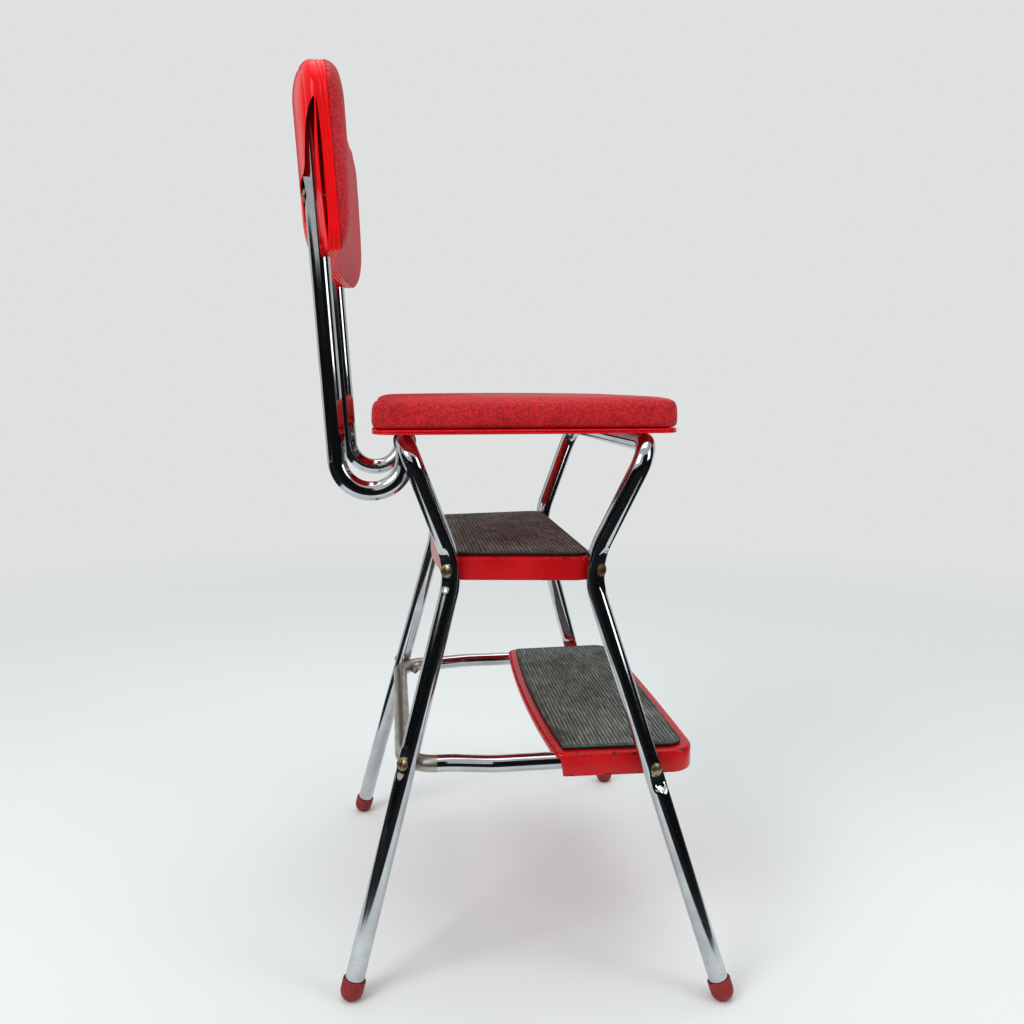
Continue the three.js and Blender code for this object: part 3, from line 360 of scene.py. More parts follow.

# %% [markdown]
# The step mats are black rubber, moulded with ribs for grip. Shoes polish and bleach the tops
# of the ribs, so they turn grey. The tops are also painted paler as light falling on them, and
# the grooves darker as shade in them. The height within the mat tells rib from groove, because
# both mats lie level.

# %% Ribbed rubber
def mat_rubber(name, groove_height, rib_height):
    """Rubber that is pale at the ribs' tops, worn there and lit by painted light, and dark at
    the grooves' height, where shade is painted.

    Noise of 45 mm makes the wear patchy. Noise of 2.5 mm, eight times as long, is scratches.
    """
    material, tree, place = new_material(name)
    height = add(tree, "ShaderNodeSeparateXYZ", Vector=place).outputs["Z"]
    # Low in the grooves the colour is painted dark as shade. High on the ribs it is pale, partly
    # wear and partly painted light.
    top = add(tree, "ShaderNodeMapRange", Value=height, From_Min=groove_height,
              From_Max=rib_height)
    patches = add(tree, "ShaderNodeTexNoise", Vector=place, Scale=per_mm(45), Detail=6.0,
                  Roughness=0.65)
    along = add(tree, "ShaderNodeMapping", Vector=place, Scale=(0.12, 1.0, 1.0))
    scratches = add(tree, "ShaderNodeTexNoise", Vector=along, Scale=per_mm(2.5), Detail=4.0)
    patchy = add(tree, "ShaderNodeValToRGB", {"stops": [(0.3, 0.55), (0.7, 1.0)]}, Fac=patches)
    worn_and_lit_tops = add(tree, "ShaderNodeMath", {"operation": "MULTIPLY"}, _0=top, _1=patchy)
    streaks = add(tree, "ShaderNodeValToRGB", {"stops": [(0.3, 0.6), (0.65, 1.0)]}, Fac=scratches)
    uneven = add(tree, "ShaderNodeMath", {"operation": "MULTIPLY"}, _0=worn_and_lit_tops, _1=streaks)
    # The greenish greys offset the red light that bounces on to the mats from the red enamel above
    # them.
    colour = add(tree, "ShaderNodeValToRGB",
                 {"stops": [(0.0, "#101413"), (0.4, "#343C38"), (1.0, "#9AA49A")]}, Fac=uneven)
    dust = add(tree, "ShaderNodeTexNoise", Vector=place, Scale=per_mm(1.5), Detail=2.0)
    rough = add(tree, "ShaderNodeBump", Height=dust, Strength=0.2, Distance=0.2 * MM)
    shader = add(tree, "ShaderNodeBsdfPrincipled", Roughness=0.72, IOR=1.52, Base_Color=colour,
                 Normal=rough)
    add(tree, "ShaderNodeOutputMaterial", Surface=shader)
    return material


# %% [markdown]
# The feet are slip-on rubber caps, red and matt, with a little grime. The screws are brass
# plated and tarnished. Nuts and clips are plain zinc-plated steel, and the hidden boards are
# plywood, whose grain is stretched noise along X.

# %% Small finishes
def grimy_rubber(name, clean, grime):
    """Matt rubber with grime in patches of 11 mm."""
    material, tree, place = new_material(name)
    dirt = add(tree, "ShaderNodeTexNoise", Vector=place, Scale=per_mm(11), Detail=6.0)
    colour = add(tree, "ShaderNodeValToRGB", {"stops": [(0.34, grime), (0.55, clean)]}, Fac=dirt)
    bumps = add(tree, "ShaderNodeBump", Height=dirt, Strength=0.15, Distance=0.4 * MM)
    shader = add(tree, "ShaderNodeBsdfPrincipled", Roughness=0.6, Base_Color=colour, Normal=bumps)
    add(tree, "ShaderNodeOutputMaterial", Surface=shader)
    return material


def aged_metal(name, clean, tarnish, rough):
    """Plated metal with tarnish in patches of 4.5 mm, rougher where it is tarnished."""
    material, tree, place = new_material(name)
    patina = add(tree, "ShaderNodeTexNoise", Vector=place, Scale=per_mm(4.5), Detail=6.0,
                 Roughness=0.7)
    colour = add(tree, "ShaderNodeValToRGB", {"stops": [(0.36, tarnish), (0.6, clean)]},
                 Fac=patina)
    dull = add(tree, "ShaderNodeMapRange", Value=patina, From_Min=0.3, From_Max=0.7,
               To_Min=rough + 0.2, To_Max=rough)
    bumps = add(tree, "ShaderNodeBump", Height=patina, Strength=0.15, Distance=0.2 * MM)
    shader = add(tree, "ShaderNodeBsdfPrincipled", Metallic=1.0, Base_Color=colour,
                 Roughness=dull, Normal=bumps)
    add(tree, "ShaderNodeOutputMaterial", Surface=shader)
    return material


def plywood_board(name):
    """Plywood: noise of 3 mm, drawn out along X, is its grain."""
    material, tree, place = new_material(name)
    along = add(tree, "ShaderNodeMapping", Vector=place, Scale=(0.06, 1.0, 1.0))
    grain = add(tree, "ShaderNodeTexNoise", Vector=along, Scale=per_mm(3), Detail=6.0)
    colour = add(tree, "ShaderNodeValToRGB", {"stops": [(0.3, "#8E6A40"), (0.6, "#B8925F")]},
                 Fac=grain)
    shader = add(tree, "ShaderNodeBsdfPrincipled", Roughness=0.7, Base_Color=colour)
    add(tree, "ShaderNodeOutputMaterial", Surface=shader)
    return material


foot_rubber = grimy_rubber("foot_rubber", "#92161C", "#701016")
bumper_rubber = grimy_rubber("bumper_rubber", "#3A3633", "#24211F")
tarnished_brass = aged_metal("tarnished_brass", "#AE9C7A", "#6C5B41", 0.3)
rusty_brass = aged_metal("rusty_brass", "#93704E", "#4E3320", 0.45)
zinc_steel = aged_metal("zinc_steel", "#A7A5A0", "#6F6B64", 0.35)
board_wood = plywood_board("board_wood")

# %% [markdown]
# A bent tube is a circle carried along a path. The path is straight between its corners and an
# arc of the bender's radius at each. The circle's axes are turned from step to step with the
# least twist, so the skin never pinches.

# %% Helpers for tubes
def smooth_step(value, low, high):
    """3 t^2 - 2 t^3, t from 0 at low to 1 at high."""
    t = np.clip((value - low) / (high - low), 0, 1)
    return t * t * (3 - 2 * t)


def unit(vector):
    vector = np.asarray(vector, float)
    return vector / np.linalg.norm(vector, axis=-1, keepdims=True)


def corner_arc(before, corner, after, radius, count=33):
    """Points of the arc that touches both straight runs at a corner."""
    back, forth = unit(before - corner), unit(after - corner)
    half = math.acos(float(np.clip(back @ forth, -1, 1))) / 2
    centre = corner + unit(back + forth) * radius / math.sin(half)
    spoke = corner + back * radius / math.tan(half) - centre
    sweep = math.pi - 2 * half
    turn = np.linspace(0, sweep, count)[:, None]
    return centre + spoke * np.cos(turn) - back * radius * np.sin(turn)


def bent_path(corners, radii, spacing=3 * MM):
    """Corners rounded by arcs, then points along it at even spacing."""
    corners = np.asarray(corners, float)
    runs = [corners[:1]]
    for before, corner, after, radius in zip(corners, corners[1:], corners[2:], radii):
        runs.append(corner_arc(before, corner, after, radius))
    runs.append(corners[-1:])
    line = np.concatenate(runs)
    reach = np.concatenate([[0], np.cumsum(np.linalg.norm(np.diff(line, axis=0), axis=1))])
    even = np.linspace(0, reach[-1], int(reach[-1] / spacing) + 1)
    return np.stack([np.interp(even, reach, line[:, axis]) for axis in range(3)], axis=1)


def carried_frames(path):
    """A side direction at each point of a path, turned as little as the path allows."""
    forward = unit(np.gradient(path, axis=0))
    side = np.zeros_like(path)
    side[0] = unit(np.cross(forward[0], [0.31, 0.87, 0.38]))
    for i in range(1, len(path)):
        side[i] = unit(side[i - 1] - forward[i] * (side[i - 1] @ forward[i]))
    return side, np.cross(forward, side)


def swept_tube(path, radius, around=36):
    """Point = path + radius (cos a side + sin a up), with a lid on each end."""
    side, up = carried_frames(path)
    angle = np.linspace(0, 2 * np.pi, around, endpoint=False)[None, :, None]
    rings = path[:, None] + radius * (np.cos(angle) * side[:, None] + np.sin(angle) * up[:, None])
    inner = path[:, None] + 0.86 * (rings - path[:, None])
    return stacked_rings(np.concatenate([inner[:1], rings, inner[-1:]]))


def mirrored(vectors):
    return np.asarray(vectors, float) * [-1, 1, 1]


def symmetric_path(half, radii):
    """A bent path from the corners and radii of its right half."""
    return bent_path(half + [mirrored(point) for point in half[::-1]], radii + radii[::-1])


dimple_depth = 2 * MM
dimple_reach = 20 * MM
screw_head_radius = 6.8 * MM


def pressed_flat(points, centre, out, radius):
    """The tube squeezed between two flats below a screw head, and so on the other side.

    The squeeze is d (1 + cos(pi t)) / 2, t from 0 at the head's edge to 1 at its reach.
    """
    for _, turn in SIDES:
        offset = points - centre * turn
        facing = out * turn
        height = offset @ facing
        away = np.linalg.norm(offset - height[:, None] * facing, axis=1)
        past = np.clip((away - screw_head_radius) / (dimple_reach - screw_head_radius), 0, 1)
        limit = radius - dimple_depth * (1 + np.cos(np.pi * past)) / 2
        near = (np.abs(height) < 2 * radius) & (past < 1)
        squeeze = np.where(near, np.clip(height, -limit, limit) - height, 0)
        points = points + squeeze[:, None] * facing
    return points


# %% [markdown]
# Each leg frame is one tube: up a leg, in to the waist at the upper step, out again and across
# under the seat. Below each screw head the tube was squeezed flat, and the bright crescents
# round the heads are the edges of those flats.

# %% Places of the legs
tube_radius = 10 * MM
gap = 0.3 * MM
crossbar_height = 570 * MM
waist_height = 437.5 * MM
foot_floor = 9 * MM
waist_bend = 82 * MM
elbow_bend = 24 * MM
leg_places = {
    "rear": {"foot": (212, 192), "waist": (151, 75), "top": (171, 124.5)},
    "front": {"foot": (263, -192.5), "waist": (165, -65.5), "top": (198, -121)},
}


def leg_corners(end):
    """The right leg's foot, waist and top, in the part's frame."""
    heights = {"foot": 0.0, "waist": waist_height, "top": crossbar_height}
    places = leg_places[end]
    return {
        key: np.array([places[key][0] * MM, places[key][1] * MM + shift_y, height])
        for key, height in heights.items()
    }


def leg_up(end):
    corners = leg_corners(end)
    return unit(corners["waist"] - corners["foot"])


def leg_at(end, height):
    """The leg's middle at a height below its waist."""
    up = leg_up(end)
    return leg_corners(end)["foot"] + up * height / up[2]


def waist_apex(end):
    """The middle of the bend at the right leg's waist."""
    corners = leg_corners(end)
    arc = corner_arc(corners["foot"], corners["waist"], corners["top"], waist_bend)
    return arc[len(arc) // 2]


print("rear waist", waist_apex("rear"), "front waist", waist_apex("front"))

# %% Places of the step screws
lower_step_height = 244.5 * MM
sheet_steel = 1.5 * MM
rail_radius = 9 * MM
rail_height = lower_step_height - sheet_steel - gap - rail_radius
pressed_radius = tube_radius - dimple_depth


def level_direction(degrees):
    """The level direction so many degrees round from the right."""
    angle = math.radians(degrees)
    return np.array([math.cos(angle), math.sin(angle), 0.0])


rear_level, rear_up = level_direction(39), leg_up("rear")
lower_rear_out = unit(rear_level - rear_up * (rear_level @ rear_up))
rail_to_leg = pressed_radius + gap + rail_radius
# The middle of the leg behind each step screw, and the way its head faces.
screw_places = {
    ("upper", "rear"): (waist_apex("rear"), level_direction(36)),
    ("upper", "front"): (waist_apex("front"), level_direction(-39)),
    ("lower", "rear"): (leg_at("rear", rail_height + lower_rear_out[2] * rail_to_leg),
                        lower_rear_out),
    ("lower", "front"): (leg_at("front", rail_height), level_direction(-20)),
}

# %% Leg frames
for end in ("rear", "front"):
    corners = leg_corners(end)
    start = corners["foot"] + leg_up(end) * (foot_floor + gap)
    path = symmetric_path([start, corners["waist"], corners["top"]], [waist_bend, elbow_bend])
    points, faces = swept_tube(path, tube_radius)
    for step in ("upper", "lower"):
        points = pressed_flat(points, *screw_places[step, end], tube_radius)
    tube = make_mesh(f"{end}_legs", points, faces)
    finish_piece(tube, bright_chrome, FRAME_BODY, f"{end}_leg_frame")

# %% [markdown]
# The rail is a second, thinner tube. Its ends run below the lower step, its sides flare towards
# the rear legs and its back bar is bolted between them. The back bar's plating is dull.

# %% Rail of the lower step
rail_corner_bend = 35 * MM
rail_touch = screw_places["lower", "rear"][0] - lower_rear_out * rail_to_leg
rail_nest = rail_touch - unit(lower_rear_out * [1, 1, 0]) * rail_corner_bend
rail_rear = rail_nest + np.array([rail_corner_bend, rail_corner_bend, 0])
front_leg_at_tray = leg_at("front", lower_step_height)
lower_half_width = front_leg_at_tray[0] - tube_radius / leg_up("front")[2] - gap
lower_rear_half = lower_half_width - 4 * MM
rail_play = 1.6 * MM
rail_arm_x = lower_rear_half - sheet_steel - rail_play - rail_radius
rail_front, rail_bend, rail_flare_end = (y * MM + shift_y for y in (-140, 38, 84))
rail_half = [np.array([x, y, rail_height]) for x, y in (
    (rail_arm_x, rail_front), (rail_arm_x, rail_bend), (rail_rear[0], rail_flare_end),
    (rail_rear[0], rail_rear[1]))]
rail_path = symmetric_path(rail_half, [100 * MM, 100 * MM, rail_corner_bend])
points, faces = swept_tube(rail_path, rail_radius, around=32)
rail = make_mesh("step_rail", points, faces)
finish_piece(rail, bright_chrome, FRAME_BODY, "lower_step_rail")
back_bar_y = rail_rear[1] - rail_corner_bend
dress_part(rail, dull_chrome, lambda middles: middles[:, 1] > back_bar_y)
print("rail sides at", round(rail_arm_x / MM, 1), "mm, back bar at", round(rail_rear[1] / MM, 1))

# %% [markdown]
# Panels are drawn by an outline with rounded corners and bowed edges, and by rings: the outline
# moved inwards and set at a height. A stack of rings is a pressed plate, a mat or a cushion.

# %% Helpers for outlines and rings
def rounded_outline(centres, radii, bows, corner_steps=14, edge_steps=48):
    """Arcs round the centres and parabolas between them, as points with outward normals.

    An edge faces the span's angle - 90 degrees + asin((this radius - next) / span). Its bow
    gives the slope atan(4 bow / span) at both ends, where it meets the arcs smoothly.
    """
    centres = np.asarray(centres, float)
    spans = np.roll(centres, -1, axis=0) - centres
    lengths = np.linalg.norm(spans, axis=1)
    radii, bows = np.asarray(radii, float), np.asarray(bows, float)
    splay = np.arcsin((radii - np.roll(radii, -1)) / lengths)
    facing = np.arctan2(spans[:, 1], spans[:, 0]) - np.pi / 2 + splay
    slope = np.arctan2(4 * bows, lengths)
    first = np.roll(facing + slope, 1)
    turn = np.mod(facing - slope - first, 2 * np.pi)
    arcs, arc_normals = [], []
    for centre, radius, start, sweep in zip(centres, radii, first, turn):
        angle = start + sweep * np.linspace(0, 1, corner_steps + 1)
        normal = np.stack([np.cos(angle), np.sin(angle)], axis=1)
        arcs.append(centre + normal * radius)
        arc_normals.append(normal)
    points, normals = [], []
    share = (np.arange(1, edge_steps) / edge_steps)[:, None]
    for i in range(len(centres)):
        begin, end = arcs[i][-1], arcs[(i + 1) % len(arcs)][0]
        span = end - begin
        outward = unit([span[1], -span[0]])
        rise = np.linalg.norm(span) * math.tan(slope[i]) / 4
        edge = begin + span * share + outward * 4 * rise * share * (1 - share)
        blend = (1 - share) * arc_normals[i][-1] + share * arc_normals[(i + 1) % len(arcs)][0]
        points += [arcs[i], edge]
        normals += [arc_normals[i], unit(blend)]
    return np.concatenate(points), np.concatenate(normals)


def mirror_points(front, rear):
    """Four points, anticlockwise from the front left, from the two on the right."""
    return [(-front[0], front[1]), front, rear, (-rear[0], rear[1])]


def panel_outline(front_half, rear_half, front, rear, radius_front, radius_rear, bows):
    return rounded_outline(
        mirror_points((front_half - radius_front, front + radius_front),
                      (rear_half - radius_rear, rear - radius_rear)),
        [radius_front, radius_front, radius_rear, radius_rear], bows)


def ring(outline, height, inset=0.0, draw=0.0, shrink=1.0, lift=0.0):
    """The outline moved in by inset, narrowed by draw a side and shrunk about its middle."""
    points, normals = outline
    low, high = points.min(0), points.max(0)
    middle, half = (low + high) / 2, (high - low) / 2
    moved = (points - normals * inset - middle) * shrink * (1 - draw / half)
    moved = moved + middle + [0, lift]
    level = height(moved[:, 0], moved[:, 1]) if callable(height) else np.broadcast_to(
        height, len(moved))
    return np.column_stack([moved, level])


def quarter_rings(outline, inset, radius, top, steps=7):
    """An upright wall turned into a flat face: inset + r (1 - cos a), top - r (1 - sin a)."""
    angles = np.linspace(0, np.pi / 2, steps)
    return [ring(outline, top - radius * (1 - math.sin(angle)),
                 inset=inset + radius * (1 - math.cos(angle))) for angle in angles]


# %% [markdown]
# The trays are pressed from one sheet. The plate bends over a small radius into an apron all
# round. The wall and its bends are rings, the plate is the last ring, closed near its middle.

# %% Pressed trays
tray_edge_round = 3.5 * MM


def pressed_panel(outline, top, drop, edge_round):
    """Inner skin, rim and outer skin of a pressed panel. drop may change round the outline."""
    lip, flat = sheet_steel / 2, edge_round + 4 * MM
    inside = quarter_rings(outline, sheet_steel, edge_round - sheet_steel, top - sheet_steel)
    outside = quarter_rings(outline, 0.0, edge_round, top)
    rim = [ring(outline, top - drop + lip - lip * math.sin(angle),
                inset=lip + lip * math.cos(angle)) for angle in np.linspace(0, np.pi, 7)]
    return stacked_rings([ring(outline, top - sheet_steel, inset=flat), *inside[::-1], *rim,
                          *outside, ring(outline, top, inset=flat)])


upper_step_height = 450 * MM
upper_corner = 22 * MM


def nested_corner(end):
    """The middle of a tray corner's arc that lies against a leg's pressed side."""
    middle, out = screw_places["upper", end]
    return tuple((middle - out * (pressed_radius + gap + upper_corner))[:2])


upper_outline = rounded_outline(
    mirror_points(nested_corner("front"), nested_corner("rear")), [upper_corner] * 4,
    [0, 0, 9 * MM, 0])
upper_tray = make_mesh(
    "upper_step", *pressed_panel(upper_outline, upper_step_height, 25 * MM, tray_edge_round))
finish_piece(upper_tray, tray_enamel, FRAME_BODY, "upper_step_tray")

# %% [markdown]
# The lower tray is open at the back: its side aprons stop short of the rear corners and the
# rear edge has only a shallow rolled flange. So its apron's depth falls off round the corners.

# %% Lower tray
lower_front = -179 * MM + shift_y
lower_rear = -25 * MM + shift_y
lower_outline = panel_outline(
    lower_half_width, lower_rear_half, lower_front, lower_rear, 28 * MM, 14 * MM,
    [2 * MM, 0, 7.5 * MM, 0])
apron_end = lower_rear - 8 * MM
apron_drop, flange_drop = 24.5 * MM, 6 * MM
behind = np.clip((lower_outline[0][:, 1] - apron_end) / (0.8 * MM) + 0.5, 0, 1)
lower_drop = apron_drop + (flange_drop - apron_drop) * behind
lower_tray = make_mesh("lower_step", *pressed_panel(
    lower_outline, lower_step_height, lower_drop, tray_edge_round))
finish_piece(lower_tray, tray_enamel, FRAME_BODY, "lower_step_tray")

# %% [markdown]
# The mats are moulded with straight ribs that run across the step, and a smooth border. A rib is
# a rounded bar with a flat top. The sides of the mat slope in, so each rib ends at the border.

# %% Ribbed mats
rib_pitch = 4.2 * MM
rib_height = 1.1 * MM
mat_thickness = 3.5 * MM
mat_edge = 1.2 * MM
border = 5 * MM


def ribbed_mat(name, outline, inset, floor):
    """A flat slab with round edges, on which rows of ribs stand.

    The ribbed part is a grid of x = s w(y), where w is the mat's half-width at y. Its height is
    h (1 - (1 - |sin(pi y / pitch)|)^3), and 0.35 of that at its ends.
    """
    top = floor + mat_thickness - rib_height
    level = floor + mat_thickness - 0.3 * MM
    inner_edge = inset + border
    base = [ring(outline, floor, inset=inset + 1 * MM), ring(outline, floor, inset=inset)]
    base += quarter_rings(outline, inset, mat_edge, level, steps=5)
    base += [ring(outline, level, inset=inner_edge - 1 * MM),
             ring(outline, level - 0.2 * MM, inset=inner_edge - 0.5 * MM),
             ring(outline, top - 0.2 * MM, inset=inner_edge),
             ring(outline, top - 0.2 * MM, inset=inner_edge + 4 * MM)]

    inner = ring(outline, 0.0, inset=inner_edge - 0.6 * MM)[:, :2]
    right = inner[inner[:, 0] > 0]
    order = np.argsort(right[:, 1])
    low, high = inner[:, 1].min(), inner[:, 1].max()
    y = np.linspace(low, high, int((high - low) / rib_pitch) * 12)[:, None]
    width = np.interp(y[:, 0], right[order, 1], right[order, 0])[:, None]
    s = np.concatenate([np.linspace(-1, -0.985, 4), np.linspace(-0.97, 0.97, 30),
                        np.linspace(0.985, 1, 4)])[None, :]
    x = s * width
    wave = np.abs(np.sin(np.pi * (y - low) / rib_pitch))
    fade = np.clip((1 - np.abs(s)) * width / (1.2 * MM), 0, 1)
    z = top + rib_height * (1 - (1 - wave) ** 3) * (0.35 + 0.65 * fade)
    grid = np.stack([x, np.broadcast_to(y, x.shape), z], axis=-1)
    below = grid.copy()
    below[..., 2] = top - 0.8 * MM
    rows, columns = x.shape
    skin = sheet_faces(rows, columns)
    index = np.arange(rows * columns).reshape(rows, columns)
    edge = np.concatenate([index[0], index[1:, -1], index[-1, -2::-1], index[-2:0:-1, 0]])
    next_edge = np.roll(edge, -1)
    wall = np.stack([next_edge, edge, edge + rows * columns, next_edge + rows * columns], axis=-1)
    points = np.concatenate([grid.reshape(-1, 3), below.reshape(-1, 3)])
    ribs = (points, [skin, skin[:, ::-1] + rows * columns, wall])
    return make_mesh(name, *joined(stacked_rings(base), ribs))


for name, outline, inset, step_height in (
    ("upper_step_mat", upper_outline, 6 * MM, upper_step_height),
    ("lower_step_mat", lower_outline, 11 * MM, lower_step_height),
):
    floor = step_height + gap
    mat_top = floor + mat_thickness
    mat = ribbed_mat(f"{name}_ribbed", outline, inset, floor)
    rubber = mat_rubber(f"{name}_rubber", mat_top - rib_height, mat_top)
    finish_piece(mat, rubber, FRAME_BODY, name)

# %% [markdown]
# The seat's pan is a shallow pressed tray upside down, and its rim is rolled into two fine
# beads. Each bead shows as one thin line of light below the cushion.

# %% Seat pan with its rolled rim
seat_front = -156 * MM + shift_y
seat_rear = 158 * MM + shift_y
seat_half = 190 * MM
seat_corner = 24 * MM
pan_top = 585 * MM
pan_rim_bottom = 580 * MM


def seat_shape(draw):
    return panel_outline(seat_half, seat_half, seat_front, seat_rear, seat_corner, seat_corner,
                         [-draw] * 4)


def beaded_rim(bottom, top, count=25):
    """Insets and heights of two half-round beads, |sin| in shape, one above the other."""
    share = np.linspace(0, 1, count)
    inset = 1.3 * MM * (1 - np.abs(np.sin(2 * np.pi * share)) ** 0.7)
    return list(zip(inset, bottom + (top - bottom) * share))


pan_under = pan_top - sheet_steel
pan_profile = [
    (8 * MM, pan_under), (3 * MM, pan_under), (2.6 * MM, pan_rim_bottom + 0.6 * MM),
    (2 * MM, pan_rim_bottom), *beaded_rim(pan_rim_bottom, pan_top - 0.2 * MM),
    (2 * MM, pan_top), (8 * MM, pan_top)]
seat_pan = make_mesh("seat_pan_rolled", *stacked_rings(
    [ring(seat_shape(0), height, inset=inset) for inset, height in pan_profile]))
finish_piece(seat_pan, pan_enamel, SEAT_BODY, "seat_pan")

# %% [markdown]
# The back hangs on one more bent tube: two uprights joined by a bar inside the back, their
# lower ends hooked forward below the seat's rear crossbar and welded to it.

# %% The curved sheet that the back follows
back_half = 187 * MM
back_bottom = 756 * MM
back_shoulder = 936.5 * MM


def across_share(x):
    return 1 - (x / back_half) ** 2


def back_sheet(x, z):
    """y = start + 0.058 (z - bottom) + 13 mm (1 - (x / half)^2)."""
    return 193.5 * MM + shift_y + 0.058 * (z - back_bottom) + 13 * MM * across_share(x)


def on_back(rings):
    """Rings of (x, z, offset to the front) as points in space."""
    x, z, offset = np.moveaxis(np.asarray(rings, float), -1, 0)
    return np.stack([x, back_sheet(x, z) - offset, z], axis=-1)


def depth_in(points):
    """How far points lie in front of the back's sheet."""
    return back_sheet(points[:, 0], points[:, 2]) - points[:, 1]


# %% Back tube
back_tube_x = 143 * MM
back_pan_depth = 5 * MM


def back_tube_y(x, z):
    return back_sheet(x, z) + tube_radius + gap - (back_pan_depth - sheet_steel)


def upright_at(z):
    return np.array([back_tube_x, back_tube_y(back_tube_x, z), z])


hook_bottom = 520 * MM
hook_top = np.array([back_tube_x, rear_crossbar_y + shift_y, crossbar_height - 5 * MM])
hook_low = hook_top * [1, 1, 0] + [0, 0, hook_bottom]
# The crossbar hides in the cover, 12 mm above its place in the solids, with tighter elbows, so
# that the uprights show straight up to the cut.
back_crossbar_height = 917 * MM
hook_bend, back_elbow = 34.4 * MM, 37 * MM
path = symmetric_path(
    [hook_top, hook_low, upright_at(hook_bottom), upright_at(back_crossbar_height)],
    [hook_bend, hook_bend, back_elbow])
above = path[:, 2] > back_bottom
path[above, 1] = back_tube_y(path[above, 0], path[above, 2])
points, faces = swept_tube(path, tube_radius)
back_screw_middle = upright_at(812 * MM)
backward = np.array([0.0, 1.0, 0.0])
points = pressed_flat(points, back_screw_middle, backward, tube_radius)
back_tube = make_mesh("back_uprights", points, faces)
finish_piece(back_tube, bright_chrome, FRAME_BODY, "back_tube")

# %% [markdown]
# Each foot is a rubber cap turned about its leg, with a round sole worn flat where it stands.
# A thin lip closes round the tube at the top, and its dark gap shows as a line.

# %% Turned shapes
def turned(profile, base, axis, around=48):
    """Points at distance r and height h of the profile, round an axis through base."""
    axis = unit(axis)
    side = unit(np.cross(axis, [0.0, 1.0, 0.0] if abs(axis[1]) < 0.9 else [1.0, 0.0, 0.0]))
    other = np.cross(axis, side)
    angle = np.linspace(0, 2 * np.pi, around, endpoint=False)
    circle = np.cos(angle)[:, None] * side + np.sin(angle)[:, None] * other
    rings = [np.asarray(base) + h * axis + r * circle for r, h in profile]
    return stacked_rings(rings)


def arc_profile(middle_r, middle_h, radius, start, end, count=7):
    """Points of a rounded corner in a profile, by angle from the outward direction."""
    angles = np.radians(np.linspace(start, end, count))
    return [(middle_r + radius * math.cos(a), middle_h + radius * math.sin(a)) for a in angles]


foot_radius = 12 * MM
foot_length = 22 * MM
foot_wear = 1 * MM
foot_bore = tube_radius + gap
foot_profile = (
    arc_profile(0, foot_radius - foot_wear, foot_radius, -88, 0, count=14)
    + [(foot_radius, foot_length - 5.4 * MM),
       (foot_radius - 0.25 * MM, foot_length - 5.0 * MM),
       (foot_radius, foot_length - 4.6 * MM)]
    + arc_profile(foot_radius - 0.8 * MM, foot_length - 0.8 * MM, 0.8 * MM, 0, 90)
    + [(foot_bore + 0.3 * MM, foot_length), (foot_bore, foot_length - 0.4 * MM),
       (foot_bore, foot_floor + 0.4 * MM), (foot_bore - 0.4 * MM, foot_floor),
       (0.3 * MM, foot_floor)])
for end in ("rear", "front"):
    base, up = leg_corners(end)["foot"], leg_up(end)
    for side_name, turn in SIDES:
        points, faces = turned(foot_profile, base * turn, up * turn)
        points[:, 2] = np.maximum(points[:, 2], 0)
        foot = make_mesh(f"rubber_foot_{end}_{side_name}", points, faces)
        finish_piece(foot, foot_rubber, FRAME_BODY, f"foot_{end}_{side_name}")

# %% [markdown]
# The screws have broad domed heads with a straight slot. The slot is cut with a thin block, so
# its walls are sharp. The shank runs on to the nut inside the tray.

# %% Slotted screws
head_edge, head_dome = 1.2 * MM, 2.2 * MM
shank_radius = 2.5 * MM
slot_width, slot_depth, slot_reach = 1.5 * MM, 1.6 * MM, 9 * MM


def cut_away(piece, cutter, solver="EXACT"):
    """Takes the cutter's body out of the piece and deletes the cutter."""
    cut = piece.modifiers.new("cut", "BOOLEAN")
    cut.operation, cut.object, cut.solver = "DIFFERENCE", cutter, solver
    piece.data = with_modifiers(piece)
    bpy.data.objects.remove(cutter)
    piece.data.set_sharp_from_angle(angle=math.radians(40))


def slotted_screw(name, head, out, length, slot_along):
    """A domed head and shank on an axis, less a thin block that reaches across the head.

    The dome is part of a ball of radius (r^2 + h^2) / 2h, for its own radius r and height h.
    """
    dome = (screw_head_radius ** 2 + head_dome ** 2) / (2 * head_dome)
    span = math.asin(screw_head_radius / dome)
    profile = [(0.2 * MM, -length), (1.7 * MM, -length), (shank_radius, -length + 0.8 * MM),
               (shank_radius, 0), (screw_head_radius - 0.3 * MM, 0), (screw_head_radius, 0.3 * MM),
               (screw_head_radius, head_edge - 0.2 * MM)]
    for angle in np.linspace(span, 0.03, 12):
        profile.append((dome * math.sin(angle) * 0.995,
                        head_edge + head_dome - dome * (1 - math.cos(angle))))
    screw = make_mesh(name, *turned(profile, head, out))
    across = unit(np.cross(out, slot_along))
    along = np.cross(across, out)
    corners = np.array([(a, b, c) for a in (-1, 1) for b in (-1, 1) for c in (0, 1)], float)
    top = head_edge + head_dome
    block = (np.asarray(head) + corners[:, :1] * slot_reach * along
             + corners[:, 1:2] * slot_width / 2 * across
             + (top - slot_depth + corners[:, 2:] * 5 * MM) * out)
    quads = np.array([[0, 1, 3, 2], [4, 6, 7, 5], [0, 4, 5, 1], [2, 3, 7, 6], [0, 2, 6, 4],
                      [1, 5, 7, 3]])
    cutter = make_mesh(f"{name}_slot", block, [quads])
    cut_away(screw, cutter)
    return screw


nut_half_width = 5.2 * MM
shank_end, back_shank_end = 4.5 * MM, 5.6 * MM
front_slant = math.radians(20)


def nut_tuck(wall_radius):
    """How deep a nut's flat side cuts into a wall that is bent round it."""
    return wall_radius - math.sqrt(wall_radius ** 2 - nut_half_width ** 2)


